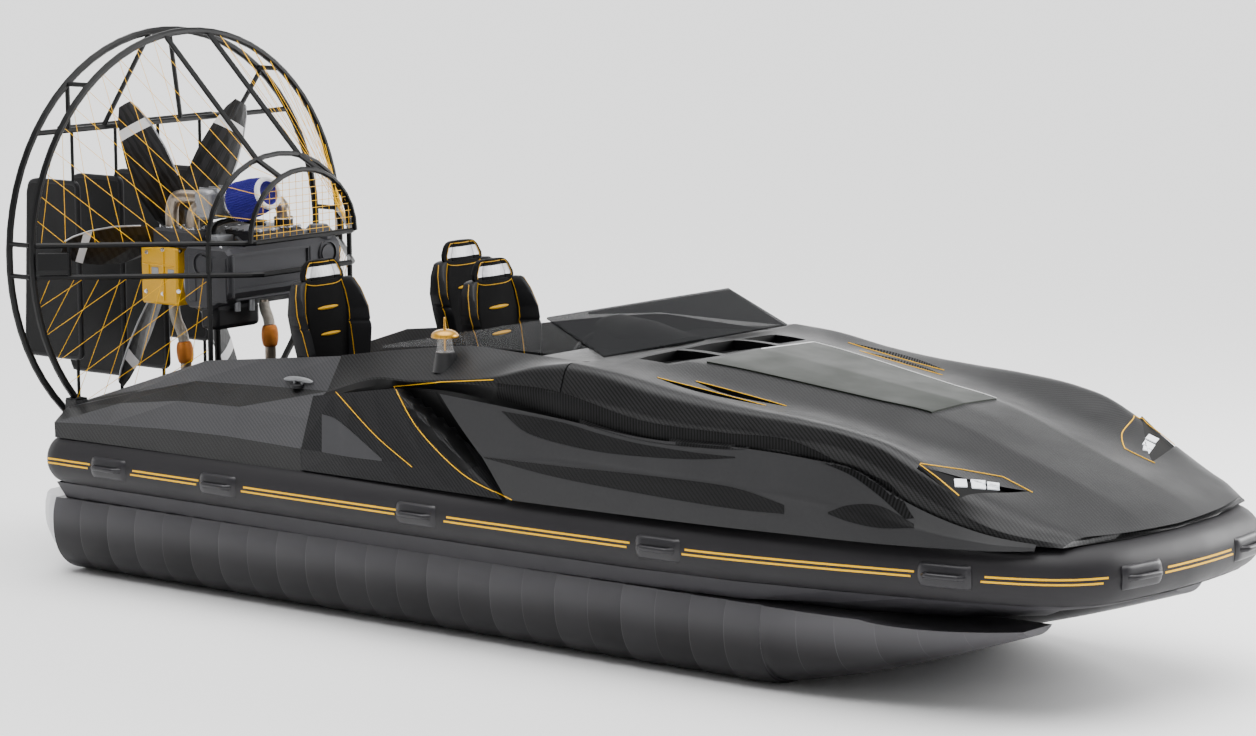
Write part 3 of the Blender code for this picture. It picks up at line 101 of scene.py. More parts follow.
@dataclass
class Shape:
    """Points (n, 3) in stations, and faces as lists of corner numbers."""

    points: np.ndarray
    faces: list[list[int]]

    def __add__(self, other: "Shape") -> "Shape":
        """Both shapes as one."""
        shift = len(self.points)
        moved = [[corner + shift for corner in face] for face in other.faces]
        return Shape(np.vstack([self.points, other.points]), self.faces + moved)

    def across(self) -> "Shape":
        """The same shape on the boat's other hand."""
        return Shape(self.points * (1.0, -1.0, 1.0), [face[::-1] for face in self.faces])

    def on(self, side: Side) -> "Shape":
        """A shape drawn to starboard, put on the given side."""
        return self if side is Side.STARBOARD else self.across()


def joined(shapes: Iterable[Shape]) -> Shape:
    """Several shapes as one."""
    shapes = list(shapes)
    total = shapes[0]
    for shape in shapes[1:]:
        total = total + shape
    return total


def unit(vectors: np.ndarray) -> np.ndarray:
    """Vectors scaled to length one along the last axis."""
    return vectors / np.maximum(np.linalg.norm(vectors, axis=-1, keepdims=True), 1e-12)


def grid(points: np.ndarray, around: bool = False, along: bool = False,
         caps: bool = False) -> Shape:
    """Quads over a grid of points.

    Args:
        points: array (rows, columns, 3).
        around: join the last column to the first.
        along: join the last row to the first.
        caps: close the first and last row with one face each.

    Returns:
        The shape.
    """
    rows, columns = points.shape[:2]
    index = np.arange(rows * columns).reshape(rows, columns)
    ends = [index[0, ::-1].tolist(), index[-1].tolist()] if caps else []
    if around:
        index = np.concatenate([index, index[:, :1]], axis=1)
    if along:
        index = np.concatenate([index, index[:1]], axis=0)
    quads = np.stack([index[:-1, :-1], index[:-1, 1:], index[1:, 1:], index[1:, :-1]], axis=-1)
    return Shape(points.reshape(-1, 3), quads.reshape(-1, 4).tolist() + ends)


def smooth(points: Sequence, count: int) -> np.ndarray:
    """Points along the Catmull-Rom curve through the given ones.

    The curve between two points is the cubic whose slope at each is half the step between
    its neighbours.

    Args:
        points: two or more points of any dimension.
        count: how many points to return.

    Returns:
        Array (count, dimension).
    """
    known = np.asarray(points, float)
    known = np.vstack([2 * known[0] - known[1], known, 2 * known[-1] - known[-2]])
    place = np.linspace(0.0, len(known) - 3 - 1e-9, count)
    start = place.astype(int)
    part = (place - start)[:, None]
    a, b, c, d = known[start], known[start + 1], known[start + 2], known[start + 3]
    return 0.5 * (2 * b + (c - a) * part + (2 * a - 5 * b + 4 * c - d) * part ** 2
                  + (3 * b - a - 3 * c + d) * part ** 3)


def straight(points: Sequence, count: int) -> np.ndarray:
    """Points spread evenly along the broken line through the given ones."""
    known = np.asarray(points, float)
    reach = np.concatenate([[0.0], np.cumsum(np.linalg.norm(np.diff(known, axis=0), axis=1))])
    place = np.linspace(0.0, reach[-1], count)
    return np.stack([np.interp(place, reach, column) for column in known.T], axis=1)


def tube(path: Sequence, radius: float | np.ndarray, sides: int = 10,
         closed: bool = False) -> Shape:
    """Round section carried along a path.

    A point is centre + radius (cos a * side + sin a * up), where side is square to the path's
    slope and to the axis that the path runs along least.

    Args:
        path: points (n, 3).
        radius: one radius, or one for each point.
        sides: corners of the section.
        closed: the path is a loop.

    Returns:
        The closed tube.
    """
    path = np.asarray(path, float)
    slope = np.roll(path, -1, 0) - np.roll(path, 1, 0) if closed else np.gradient(path, axis=0)
    slope = unit(slope)
    least = np.eye(3)[np.argmin(np.abs(slope).max(axis=0))]
    side = unit(np.cross(slope, least))
    up = np.cross(side, slope)
    turn = np.arange(sides) / sides * 2 * np.pi
    radius = np.broadcast_to(np.asarray(radius, float), len(path))[:, None, None]
    round_ = (np.cos(turn)[None, :, None] * side[:, None]
              + np.sin(turn)[None, :, None] * up[:, None])
    return grid(path[:, None] + radius * round_, around=True, along=closed, caps=not closed)


def rods(starts: np.ndarray, ends: np.ndarray, radius: float, sides: int = 5) -> Shape:
    """Many straight round rods at once, each a prism from its start to its end."""
    starts, ends = np.asarray(starts, float), np.asarray(ends, float)
    slope = unit(ends - starts)
    least = np.where(np.abs(slope[:, :1]) < 0.8, [[1.0, 0.0, 0.0]], [[0.0, 1.0, 0.0]])
    side = unit(np.cross(slope, least))
    up = np.cross(side, slope)
    turn = np.arange(sides) / sides * 2 * np.pi
    ring = (np.cos(turn)[None, :, None] * side[:, None] + np.sin(turn)[None, :, None] * up[:, None])
    both = np.stack([starts[:, None] + radius * ring, ends[:, None] + radius * ring], axis=1)
    count = len(starts)
    first = (np.arange(count) * 2 * sides)[:, None]
    here = np.arange(sides)[None]
    after = (here + 1) % sides
    quads = np.stack([first + here, first + after, first + sides + after, first + sides + here],
                     axis=-1).reshape(-1, 4).tolist()
    caps = (first + here[:, ::-1]).tolist() + (first + sides + here).tolist()
    return Shape(both.reshape(-1, 3), quads + caps)


def turned(profile: Sequence, start: Sequence, aim: Sequence, sides: int = 32,
           hollow: bool = False) -> Shape:
    """Profile turned about an axis: start + aim * distance + radius (cos a * u + sin a * v).

    Args:
        profile: rows of distance along the axis and radius.
        start: a point on the axis.
        aim: direction of the axis.
        sides: steps round.
        hollow: the profile is a loop, so that its ends meet and no cap is made.

    Returns:
        The turned shape.
    """
    profile = np.asarray(profile, float)
    aim = unit(np.asarray(aim, float))
    least = np.eye(3)[np.argmin(np.abs(aim))]
    first = unit(np.cross(aim, least))
    second = np.cross(aim, first)
    turn = np.arange(sides) / sides * 2 * np.pi
    round_ = np.cos(turn)[:, None] * first + np.sin(turn)[:, None] * second
    rings = (np.asarray(start, float) + profile[:, :1, None] * aim
             + profile[:, 1:2, None] * round_[None])
    return grid(rings, around=True, along=hollow, caps=not hollow)


def block(low: Sequence, high: Sequence) -> Shape:
    """Box between two corners."""
    low, high = np.asarray(low, float), np.asarray(high, float)
    pick = np.array([[i & 1, i >> 1 & 1, i >> 2 & 1] for i in range(8)])
    faces = [[0, 2, 3, 1], [4, 5, 7, 6], [0, 1, 5, 4], [2, 6, 7, 3], [0, 4, 6, 2], [1, 3, 7, 5]]
    return Shape(low + pick * (high - low), faces)


def strip(path: np.ndarray, normals: np.ndarray, width: float, height: float) -> Shape:
    """Flat raised strip along a path on a surface.

    Its section is a trapezium of the given width and height, square to the path's slope, with
    the surface's normal as up.

    Args:
        path: points (n, 3) on the surface.
        normals: the surface's normals there.
        width: breadth of the foot.
        height: how far it stands proud.

    Returns:
        The closed strip.
    """
    slope = unit(np.gradient(path, axis=0))
    side = unit(np.cross(slope, normals))
    up = unit(np.cross(side, slope))
    up = up * np.sign(np.sum(up * normals, axis=1, keepdims=True))
    offsets = np.array([(-0.5, -0.0008 / height), (-0.38, 1.0), (0.38, 1.0), (0.5, -0.0008 / height)])
    rows = (path[:, None] + offsets[None, :, :1] * width * side[:, None]
            + offsets[None, :, 1:] * height * up[:, None])
    return grid(rows, around=True, caps=True)


def sheet_over(rows: np.ndarray, normals: np.ndarray, height: float) -> Shape:
    """Thin closed skin over a grid of surface points, standing a little proud of them.

    Args:
        rows: array (rows, columns, 3) on the surface.
        normals: the surface's normals there.
        height: how far the skin's face stands off the surface.

    Returns:
        A slab whose outer face is at the height and whose inner face is sunk as deep.
    """
    outer = rows + normals * height
    inner = rows - normals * height
    count = rows.shape[0] * rows.shape[1]
    top = grid(outer)
    index = np.arange(count).reshape(rows.shape[:2])
    rim = np.concatenate([index[0], index[1:, -1], index[-1, -2::-1], index[-2:0:-1, 0]])
    after = np.roll(rim, -1)
    walls = np.stack([rim, rim + count, after + count, after], axis=1).tolist()
    bottom = [[corner + count for corner in face[::-1]] for face in top.faces]
    return Shape(np.vstack([top.points, inner.reshape(-1, 3)]), top.faces + bottom + walls)


def cubic_rows(table: Sequence, station: np.ndarray) -> np.ndarray:
    """A table's columns between its stations, by cubics that keep the rows' mean slopes.

    Args:
        table: rows of station and values.
        station: stations that are wanted.

    Returns:
        Array (stations, values).
    """
    known, values = np.array(table)[:, 0], np.array(table)[:, 1:]
    slope = np.gradient(values, known, axis=0)
    spot = np.clip(np.searchsorted(known, station) - 1, 0, len(known) - 2)
    step = (known[spot + 1] - known[spot])[:, None]
    t = (station[:, None] - known[spot][:, None]) / step
    return ((2 * t ** 3 - 3 * t ** 2 + 1) * values[spot] + (t ** 3 - 2 * t ** 2 + t) * step
            * slope[spot] + (3 * t ** 2 - 2 * t ** 3) * values[spot + 1]
            + (t ** 3 - t ** 2) * step * slope[spot + 1])


def prism(outline: np.ndarray, low: np.ndarray, high: np.ndarray) -> Shape:
    """Straight prism: an outline (n, 3) moved by `low` and by `high`, closed at both ends."""
    rows = np.stack([outline + low, outline + high])
    return grid(rows, around=True, caps=True)


def carved(shape: Shape, cutter: Shape) -> tuple[Shape, np.ndarray]:
    """A closed shape less another one, by Blender's exact Boolean.

    Args:
        shape: what is cut.
        cutter: closed prisms that don't touch each other.

    Returns:
        The rest, and for each of its faces 1 where the cutter made it and 0 elsewhere.
    """
    made = []
    for name, part in (("uncut", shape), ("cutter", cutter)):
        mesh = bpy.data.meshes.new(name)
        mesh.from_pydata(part.points.tolist(), [], part.faces)
        mesh.materials.append(bpy.data.materials.new(name))
        work = bmesh.new()
        work.from_mesh(mesh)
        bmesh.ops.recalc_face_normals(work, faces=work.faces)
        work.to_mesh(mesh)
        work.free()
        made.append(bpy.data.objects.new(name, mesh))
        bpy.context.scene.collection.objects.link(made[-1])
    cut = made[0].modifiers.new("cut", "BOOLEAN")
    cut.operation, cut.object, cut.solver = "DIFFERENCE", made[1], "EXACT"
    cut.material_mode = "TRANSFER"
    rest = made[0].evaluated_get(bpy.context.evaluated_depsgraph_get()).to_mesh()
    points = np.empty(len(rest.vertices) * 3)
    rest.vertices.foreach_get("co", points)
    zones = np.zeros(len(rest.polygons), np.int32)
    rest.polygons.foreach_get("material_index", zones)
    faces = [list(face.vertices) for face in rest.polygons]
    for old in made:
        mesh = old.data
        bpy.data.objects.remove(old)
        bpy.data.materials.remove(mesh.materials[0])
        bpy.data.meshes.remove(mesh)
    return Shape(points.reshape(-1, 3), faces), zones


# ---- Places in the photograph


def camera_axes() -> tuple[np.ndarray, np.ndarray, np.ndarray]:
    """The camera's right, up and forward directions from its yaw, pitch and roll."""
    yaw, pitch, roll = np.radians([CAMERA_YAW, CAMERA_PITCH, CAMERA_ROLL])
    forward = np.array([-np.sin(yaw) * np.cos(pitch), np.cos(yaw) * np.cos(pitch), -np.sin(pitch)])
    right = np.array([np.cos(yaw), np.sin(yaw), 0.0])
    up = np.cross(right, forward)
    return (right * np.cos(roll) + up * np.sin(roll), up * np.cos(roll) - right * np.sin(roll),
            forward)


@dataclass
class Surface:
    """Solids of the model as one surface, on which trim is laid.

    Attributes:
        nodes: names of the solids.
        own: shape of the scene's that counts as well.
    """

    nodes: tuple[str, ...]
    own: Shape | None = None

    def __post_init__(self) -> None:
        """Gathers the solids' faces in one search tree, in stations."""
        points, faces, count = [], [], 0
        for name in self.nodes:
            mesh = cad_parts[name].data
            flat = np.empty(len(mesh.vertices) * 3)
            mesh.vertices.foreach_get("co", flat)
            points.append(flat.reshape(-1, 3) + (MID_X, 0.0, 0.0))
            faces += [[corner + count for corner in face.vertices] for face in mesh.polygons]
            count += len(mesh.vertices)
        if self.own is not None:
            points.append(self.own.points)
            faces += [[corner + count for corner in face] for face in self.own.faces]
        self.tree = BVHTree.FromPolygons(np.vstack(points).tolist(), faces)

    def seen(self, pixels: np.ndarray) -> tuple[np.ndarray, np.ndarray]:
        """Where the sight lines through the photograph's pixels meet the surface.

        Args:
            pixels: array (n, 2) in the photograph's pixels.

        Returns:
            Points and outward normals; a line that misses is left out.
        """
        right, up, forward = camera_axes()
        scale = SENSOR_MM / PHOTO_SIZE[0] / LENS_MM
        shift = (np.asarray(pixels, float) - np.array(PHOTO_SIZE) / 2) * scale
        aims = unit(forward + shift[:, :1] * right - shift[:, 1:] * up)
        start = Vector(CAMERA_PLACE)
        hits = [self.tree.ray_cast(start, Vector(aim)) for aim in aims]
        found = [(hit[0], hit[1], aim) for hit, aim in zip(hits, aims) if hit[0] is not None]
        points = np.array([hit[0][:] for hit in found])
        normals = np.array([hit[1][:] for hit in found])
        back = np.array([hit[2] for hit in found])
        return points, normals * -np.sign(np.sum(normals * back, axis=1, keepdims=True))

    def nearest(self, points: np.ndarray) -> tuple[np.ndarray, np.ndarray]:
        """Nearest points of the surface and their normals."""
        found = [self.tree.find_nearest(Vector(point)) for point in points]
        return np.array([hit[0][:] for hit in found]), np.array([hit[1][:] for hit in found])

    def line(self, pixels: Sequence, width: float, height: float = 0.003, count: int = 40,
             curved: bool = True) -> Shape:
        """Raised strip along a line of the photograph."""
        spread = smooth(pixels, count) if curved else straight(pixels, count)
        points, normals = self.seen(spread)
        return strip(points, normals, width, height)

    def patch(self, upper: Sequence, lower: Sequence, columns: int = 40, rows: int = 8,
              height: float = 0.002) -> Shape:
        """Thin skin between two lines of the photograph, both run the same way.

        Args:
            upper: pixels of the upper edge.
            lower: pixels of the lower edge.
            columns: points along.
            rows: points across.
            height: how far the skin stands off.

        Returns:
            The closed skin.
        """
        first, second = smooth(upper, columns), smooth(lower, columns)
        share = np.linspace(0.0, 1.0, rows)[:, None, None]
        pixels = first[None] * (1 - share) + second[None] * share
        points, normals = self.seen(pixels.reshape(-1, 2))
        return sheet_over(points.reshape(rows, columns, 3), normals.reshape(rows, columns, 3),
                          height)


# ---- Finishes


def linear(colour: str) -> tuple[float, float, float, float]:
    """An sRGB hex colour as linear RGBA."""
    parts = np.array([int(colour[i:i + 2], 16) for i in (1, 3, 5)]) / 255.0
    low, high = parts / 12.92, ((parts + 0.055) / 1.055) ** 2.4
    return (*np.where(parts <= 0.04045, low, high).tolist(), 1.0)


def add_node(tree: NodeTree, kind: str, *feeds: object, **settings: object) -> Node:
    """Adds a node, sets its properties and feeds its inputs in order.

    Args:
        tree: the material's tree.
        kind: the node's type name.
        feeds: a socket or a value for each input in order; None leaves one as it is.
        settings: properties; a key that starts with i_ feeds the input of that number.

    Returns:
        The node.
    """
    made = tree.nodes.new(kind)
    slots = dict(enumerate(feeds))
    for key, value in settings.items():
        if key.startswith("i_"):
            slots[int(key[2:])] = value
        else:
            setattr(made, key, value)
    for number, value in slots.items():
        if isinstance(value, NodeSocket):
            tree.links.new(value, made.inputs[number])
        elif value is not None:
            made.inputs[number].default_value = value
    return made


@dataclass(frozen=True)
class Finish:
    """A surface finish: two tones of one colour that follow a pattern, with relief and gloss.

    Attributes:
        name: name of the material.
        slot: the record's material slot.
        light: tone of the pattern's high places, sRGB hex.
        dark: tone of its low places.
        roughness: middle roughness.
        metallic: 1 for bare metal.
        coat: weight of the clear coat.
        pitch: metres between features of the pattern.
        relief: metres from its low to its high places.
        patchy: how far the roughness wanders over a few hundred millimetres.
        sheen: specular level, 0.5 for a plain glossy plastic.
    """

    name: str
    slot: str
    light: str
    dark: str
    roughness: float = 0.5
    metallic: float = 0.0
    coat: float = 0.0
    pitch: float = 0.006
    relief: float = 0.0003
    patchy: float = 0.05
    sheen: float = 0.20

    def pattern(self, tree: NodeTree, place: NodeSocket) -> NodeSocket:
        """Fine even grain."""
        return add_node(tree, "ShaderNodeTexNoise", place, None, 1.0 / self.pitch, 3.0).outputs[0]

    def shade(self, shader: Node) -> None:
        """Constant values of the shader that only this finish has."""

    def build(self) -> Material:
        """The finish's material, made once."""
        if self.name in bpy.data.materials:
            return bpy.data.materials[self.name]
        made = bpy.data.materials.new(self.name)
        made.use_nodes = True
        tree = made.node_tree
        shader = tree.nodes["Principled BSDF"]
        place = add_node(tree, "ShaderNodeTexCoord").outputs["Object"]
        height = self.pattern(tree, place)
        tone = add_node(tree, "ShaderNodeMix", height, i_6=linear(self.dark),
                        i_7=linear(self.light), data_type="RGBA")
        tree.links.new(tone.outputs[2], shader.inputs["Base Color"])
        cloud = add_node(tree, "ShaderNodeTexNoise", place, None, 4.0, 3.0)
        gloss = add_node(tree, "ShaderNodeMapRange", cloud.outputs[0], 0.3, 0.7,
                         max(self.roughness - self.patchy, 0.02), self.roughness + self.patchy)
        tree.links.new(gloss.outputs[0], shader.inputs["Roughness"])
        if self.relief:
            bump = add_node(tree, "ShaderNodeBump")
            bump.inputs["Distance"].default_value = self.relief
            tree.links.new(height, bump.inputs["Height"])
            tree.links.new(bump.outputs[0], shader.inputs["Normal"])
        shader.inputs["Metallic"].default_value = self.metallic
        shader.inputs["Specular IOR Level"].default_value = self.sheen
        shader.inputs["Coat Weight"].default_value = self.coat
        shader.inputs["Coat Roughness"].default_value = 0.12
        self.shade(shader)
        return made


@dataclass(frozen=True)
class Twill(Finish):
    """Woven fibre laminate under lacquer: two-over-two twill, so the eye sees fine diagonals.

    The real tow is 2 mm wide, too fine for the view, and is drawn at the pitch given.
    """

    def pattern(self, tree: NodeTree, place: NodeSocket) -> NodeSocket:
        """High where floor(x/p) + floor((z - 1.3|y|)/p), taken modulo 4, is under 2."""
        axes = add_node(tree, "ShaderNodeSeparateXYZ", place).outputs
        breadth = add_node(tree, "ShaderNodeMath", axes[1], operation="ABSOLUTE").outputs[0]
        lean = add_node(tree, "ShaderNodeMath", breadth, -1.3, axes[2],
                        operation="MULTIPLY_ADD").outputs[0]
        warp = add_node(tree, "ShaderNodeMath", axes[0], 1.0 / self.pitch, operation="MULTIPLY")
        weft = add_node(tree, "ShaderNodeMath", lean, 1.0 / self.pitch, operation="MULTIPLY")
        cell = add_node(tree, "ShaderNodeMath", warp.outputs[0], operation="FLOOR").outputs[0]
        row = add_node(tree, "ShaderNodeMath", weft.outputs[0], operation="FLOOR").outputs[0]
        total = add_node(tree, "ShaderNodeMath", cell, row, operation="ADD").outputs[0]
        turn = add_node(tree, "ShaderNodeMath", total, 4.0, operation="FLOORED_MODULO").outputs[0]
        return add_node(tree, "ShaderNodeMath", turn, 1.5, operation="LESS_THAN").outputs[0]


@dataclass(frozen=True)
class ShadedFlankTwill(Twill):
    """Twill whose outward flanks are the black laminate and whose tops are the grey one. The flanks' darker
    tones follow how far a face turns outward, so they are painted shade on the sideways faces as well.

    Attributes:
        flank_shade_light: tone of the flank's raised tows, black laminate with painted shade.
        flank_shade_dark: tone of its sunk tows, black laminate with painted shade.
    """

    flank_shade_light: str = "#232324"
    flank_shade_dark: str = "#080808"

    def flank(self, tree: NodeTree, breadth: NodeSocket, outward: NodeSocket) -> NodeSocket:
        """Share of the flank's tones: a smooth step as n_y sign(y) goes from 0.55 to 0.88."""
        return add_node(tree, "ShaderNodeMapRange", outward, 0.55, 0.88,
                        interpolation_type="SMOOTHSTEP").outputs[0]

    def build(self) -> Material:
        """Mixes the flank's tones in where flank() says."""
        if self.name in bpy.data.materials:
            return bpy.data.materials[self.name]
        made = super().build()
        tree = made.node_tree
        shader = tree.nodes["Principled BSDF"]
        place = add_node(tree, "ShaderNodeTexCoord").outputs["Object"]
        breadth = add_node(tree, "ShaderNodeSeparateXYZ", place).outputs[1]
        hand = add_node(tree, "ShaderNodeMath", breadth, operation="SIGN").outputs[0]
        facing = add_node(tree, "ShaderNodeNewGeometry").outputs["Normal"]
        lean = add_node(tree, "ShaderNodeSeparateXYZ", facing).outputs[1]
        outward = add_node(tree, "ShaderNodeMath", lean, hand, operation="MULTIPLY").outputs[0]
        # black laminate and painted shade: faces turned outward take the flank's darker tones
        share = self.flank(tree, breadth, outward)
        weave = self.pattern(tree, place)
        flank = add_node(tree, "ShaderNodeMix", weave, i_6=linear(self.flank_shade_dark),
                         i_7=linear(self.flank_shade_light), data_type="RGBA").outputs[2]
        base = shader.inputs["Base Color"].links[0].from_socket
        tone = add_node(tree, "ShaderNodeMix", share, i_6=base, i_7=flank, data_type="RGBA")
        tree.links.new(tone.outputs[2], shader.inputs["Base Color"])
        return made


@dataclass(frozen=True)
class Panelled(ShadedFlankTwill):
    """Grey lacquer whose upright skirt and upper chamfer are the black laminate, picked by the faces' turn, so
    their dark tones are painted shade as well.
    """

    def flank(self, tree: NodeTree, breadth: NodeSocket, outward: NodeSocket) -> NodeSocket:
        """1 where n_y sign(y) > 0.92, and where it is 0.33..0.66 further out than 0.94 m."""
        skirt = add_node(tree, "ShaderNodeMath", outward, 0.92, operation="GREATER_THAN").outputs[0]
        flat = add_node(tree, "ShaderNodeMath", outward, 0.495, 0.165, operation="COMPARE").outputs[0]
        reach = add_node(tree, "ShaderNodeMath", breadth, operation="ABSOLUTE").outputs[0]
        out = add_node(tree, "ShaderNodeMath", reach, 0.94, operation="GREATER_THAN").outputs[0]
        return add_node(tree, "ShaderNodeMath", flat, out, skirt,
                        operation="MULTIPLY_ADD").outputs[0]


@dataclass(frozen=True)
class Ribbed(Finish):
    """Moulded ribs that stand across the boat's length, one every pitch."""

    def pattern(self, tree: NodeTree, place: NodeSocket) -> NodeSocket:
        """Rounded ribs: half + half cos(2 pi x / p)."""
        axes = add_node(tree, "ShaderNodeSeparateXYZ", place).outputs
        turn = add_node(tree, "ShaderNodeMath", axes[0], 2 * np.pi / self.pitch,
                        operation="MULTIPLY").outputs[0]
        wave = add_node(tree, "ShaderNodeMath", turn, operation="COSINE").outputs[0]
        return add_node(tree, "ShaderNodeMath", wave, 0.5, 0.5, operation="MULTIPLY_ADD").outputs[0]


@dataclass(frozen=True)
class Scaled(Finish):
    """Skid plates that each faded a little differently, with painted highlights: a pale band along each
    plate's rear edge and a paler upper part.

    Attributes:
        stern_x: station of the first plate.
        length: length of a plate.
        edge_glint: width of the painted highlight along a plate's rear edge, as a share of the length.
    """

    stern_x: float = -0.05
    length: float = 0.235
    edge_glint: float = 0.02

    def pattern(self, tree: NodeTree, place: NodeSocket) -> NodeSocket:
        """Plate's own random tone, plus a painted highlight on its rear edge, plus a painted highlight that
        grows towards the top.
        """
        axes = add_node(tree, "ShaderNodeSeparateXYZ", place).outputs
        run = add_node(tree, "ShaderNodeMath", axes[0], 1.0 / self.length,
                       (MID_X - self.stern_x) / self.length, operation="MULTIPLY_ADD").outputs[0]
        number = add_node(tree, "ShaderNodeMath", run, operation="FLOOR").outputs[0]
        part = add_node(tree, "ShaderNodeMath", run, operation="FRACT").outputs[0]
        chance = add_node(tree, "ShaderNodeTexWhiteNoise", noise_dimensions="1D")
        tree.links.new(number, chance.inputs["W"])
        # painted highlight: a pale band along each plate's rear edge, where its step catches the light
        edge = add_node(tree, "ShaderNodeMath", part, self.edge_glint, operation="LESS_THAN").outputs[0]
        # painted highlight: the tone rises towards the top, between heights 0.22 and 0.46
        painted_top_sheen = add_node(tree, "ShaderNodeMapRange", axes[2], 0.22, 0.46, 0.0, 0.85,
                        interpolation_type="SMOOTHSTEP").outputs[0]
        tone = add_node(tree, "ShaderNodeMath", chance.outputs["Value"], 0.12, painted_top_sheen,
                        operation="MULTIPLY_ADD").outputs[0]
        return add_node(tree, "ShaderNodeMath", edge, 0.25, tone,
                        operation="MULTIPLY_ADD").outputs[0]


@dataclass(frozen=True)
class Grained(Finish):
    """Leather grain: small rounded cells with creases between them."""

    def pattern(self, tree: NodeTree, place: NodeSocket) -> NodeSocket:
        """Distance to the cell's middle, so a crease runs where cells meet."""
        cells = add_node(tree, "ShaderNodeTexVoronoi", place, feature="SMOOTH_F1")
        cells.inputs["Scale"].default_value = 1.0 / self.pitch
        return add_node(tree, "ShaderNodeMath", 1.0, cells.outputs["Distance"],
                        operation="SUBTRACT").outputs[0]


@dataclass(frozen=True)
class Braided(Finish):
    """Braid of round wires round a hose: two crossed waves along and round its length."""

    def pattern(self, tree: NodeTree, place: NodeSocket) -> NodeSocket:
        """Product of two sines at 45 degrees either way in height and breadth."""
        axes = add_node(tree, "ShaderNodeSeparateXYZ", place).outputs
        flat = add_node(tree, "ShaderNodeMath", axes[0], axes[1], operation="ADD").outputs[0]
        rise = add_node(tree, "ShaderNodeMath", axes[2], flat, operation="ADD").outputs[0]
        fall = add_node(tree, "ShaderNodeMath", axes[2], flat, operation="SUBTRACT").outputs[0]
        turn = 2 * np.pi / self.pitch
        first = add_node(tree, "ShaderNodeMath", rise, turn, operation="MULTIPLY").outputs[0]
        second = add_node(tree, "ShaderNodeMath", fall, turn, operation="MULTIPLY").outputs[0]
        one = add_node(tree, "ShaderNodeMath", first, operation="SINE").outputs[0]
        two = add_node(tree, "ShaderNodeMath", second, operation="SINE").outputs[0]
        both = add_node(tree, "ShaderNodeMath", one, two, operation="MULTIPLY").outputs[0]
        return add_node(tree, "ShaderNodeMath", both, 0.5, 0.5, operation="MULTIPLY_ADD").outputs[0]


@dataclass(frozen=True)
class Brushed(Finish):
    """Drawn or brushed metal: streaks many times longer than they are wide."""

    def pattern(self, tree: NodeTree, place: NodeSocket) -> NodeSocket:
        """Noise squeezed across the boat and stretched along its height."""
        map_ = add_node(tree, "ShaderNodeMapping", place, i_3=(1.0, 1.0, 0.06))
        return add_node(tree, "ShaderNodeTexNoise", map_.outputs[0], None, 1.0 / self.pitch,
                        2.0).outputs[0]


@dataclass(frozen=True)
class Glazing(Finish):
    """Cast acrylic sheet: smooth, tinted in the mass, hardly any surface grain.

    Attributes:
        clear: share of the light that each face lets through.
    """

    clear: float = 0.9

    def shade(self, shader: Node) -> None:
        """Lets light straight through, as a thin flat sheet does."""
        shader.inputs["Alpha"].default_value = 1.0 - self.clear


@dataclass(frozen=True)
class Banded(Twill):
    """Moulded blade with a painted band at a set distance from the shaft.

    Attributes:
        band: inner and outer radius of the band.
        paint: colour of the band.
        hub_z: height of the shaft's axis.
    """

    band: tuple[float, float] = (0.785, 0.85)
    paint: str = "#d8d8da"
    hub_z: float = 1.9

    def build(self) -> Material:
        """Mixes the band's paint in where the distance from the axis lies between its radii."""
        if self.name in bpy.data.materials:
            return bpy.data.materials[self.name]
        made = super().build()
        tree = made.node_tree
        shader = tree.nodes["Principled BSDF"]
        place = add_node(tree, "ShaderNodeTexCoord").outputs["Object"]
        axes = add_node(tree, "ShaderNodeSeparateXYZ", place).outputs
        rise = add_node(tree, "ShaderNodeMath", axes[2], self.hub_z, operation="SUBTRACT")
        square = add_node(tree, "ShaderNodeMath", rise.outputs[0], 2.0, operation="POWER")
        total = add_node(tree, "ShaderNodeMath", axes[1], axes[1], square.outputs[0],
                         operation="MULTIPLY_ADD")
        radius = add_node(tree, "ShaderNodeMath", total.outputs[0], operation="SQRT").outputs[0]
        outside = add_node(tree, "ShaderNodeMath", radius, self.band[0], operation="GREATER_THAN")
        inside = add_node(tree, "ShaderNodeMath", radius, self.band[1], operation="LESS_THAN")
        both = add_node(tree, "ShaderNodeMath", outside.outputs[0], inside.outputs[0],
                        operation="MULTIPLY").outputs[0]
        base = shader.inputs["Base Color"].links[0].from_socket
        tone = add_node(tree, "ShaderNodeMix", both, i_6=base, i_7=linear(self.paint),
                        data_type="RGBA")
        tree.links.new(tone.outputs[2], shader.inputs["Base Color"])
        return made


@dataclass(frozen=True)
class Lit(Finish):
    """Diode lens: pale moulded grid that glows a little."""

    glow: float = 0.9

    def shade(self, shader: Node) -> None:
        """Cool white light from the whole face."""
        shader.inputs["Emission Color"].default_value = linear("#f4f8ff")
        shader.inputs["Emission Strength"].default_value = self.glow


# Satin lacquered grey laminate of the decks; the weave shows as fine diagonals. Outward faces turn darker,
# black laminate with painted shade.
DECK_FIBRE = ShadedFlankTwill("deck_fibre_grey", "carbon_grey", "#2a2a2b", "#1c1c1d", 0.36,
                          pitch=0.008, sheen=0.22)
# The stern decks' lighter lacquer, with the laminate bare on the skirt and the upper chamfer, dark there with
# painted shade too
STERN_FIBRE = Panelled("stern_fibre_grey", "carbon_grey", "#444446", "#39393b", 0.38,
                       pitch=0.008, sheen=0.28, flank_shade_light="#1c1c1d", flank_shade_dark="#070707")
# The same lacquer where it runs on over the quarter panel
QUARTER_LACQUER = Finish("quarter_lacquer_grey", "carbon_grey", "#404042", "#3c3c3e", 0.38,
                         pitch=0.02, relief=0.00005, sheen=0.28)
# The same laminate in the black of the lower flanks and grooves
FLANK_FIBRE = Twill("flank_fibre_black", "carbon_black", "#232325", "#111112", 0.42,
                    pitch=0.007)
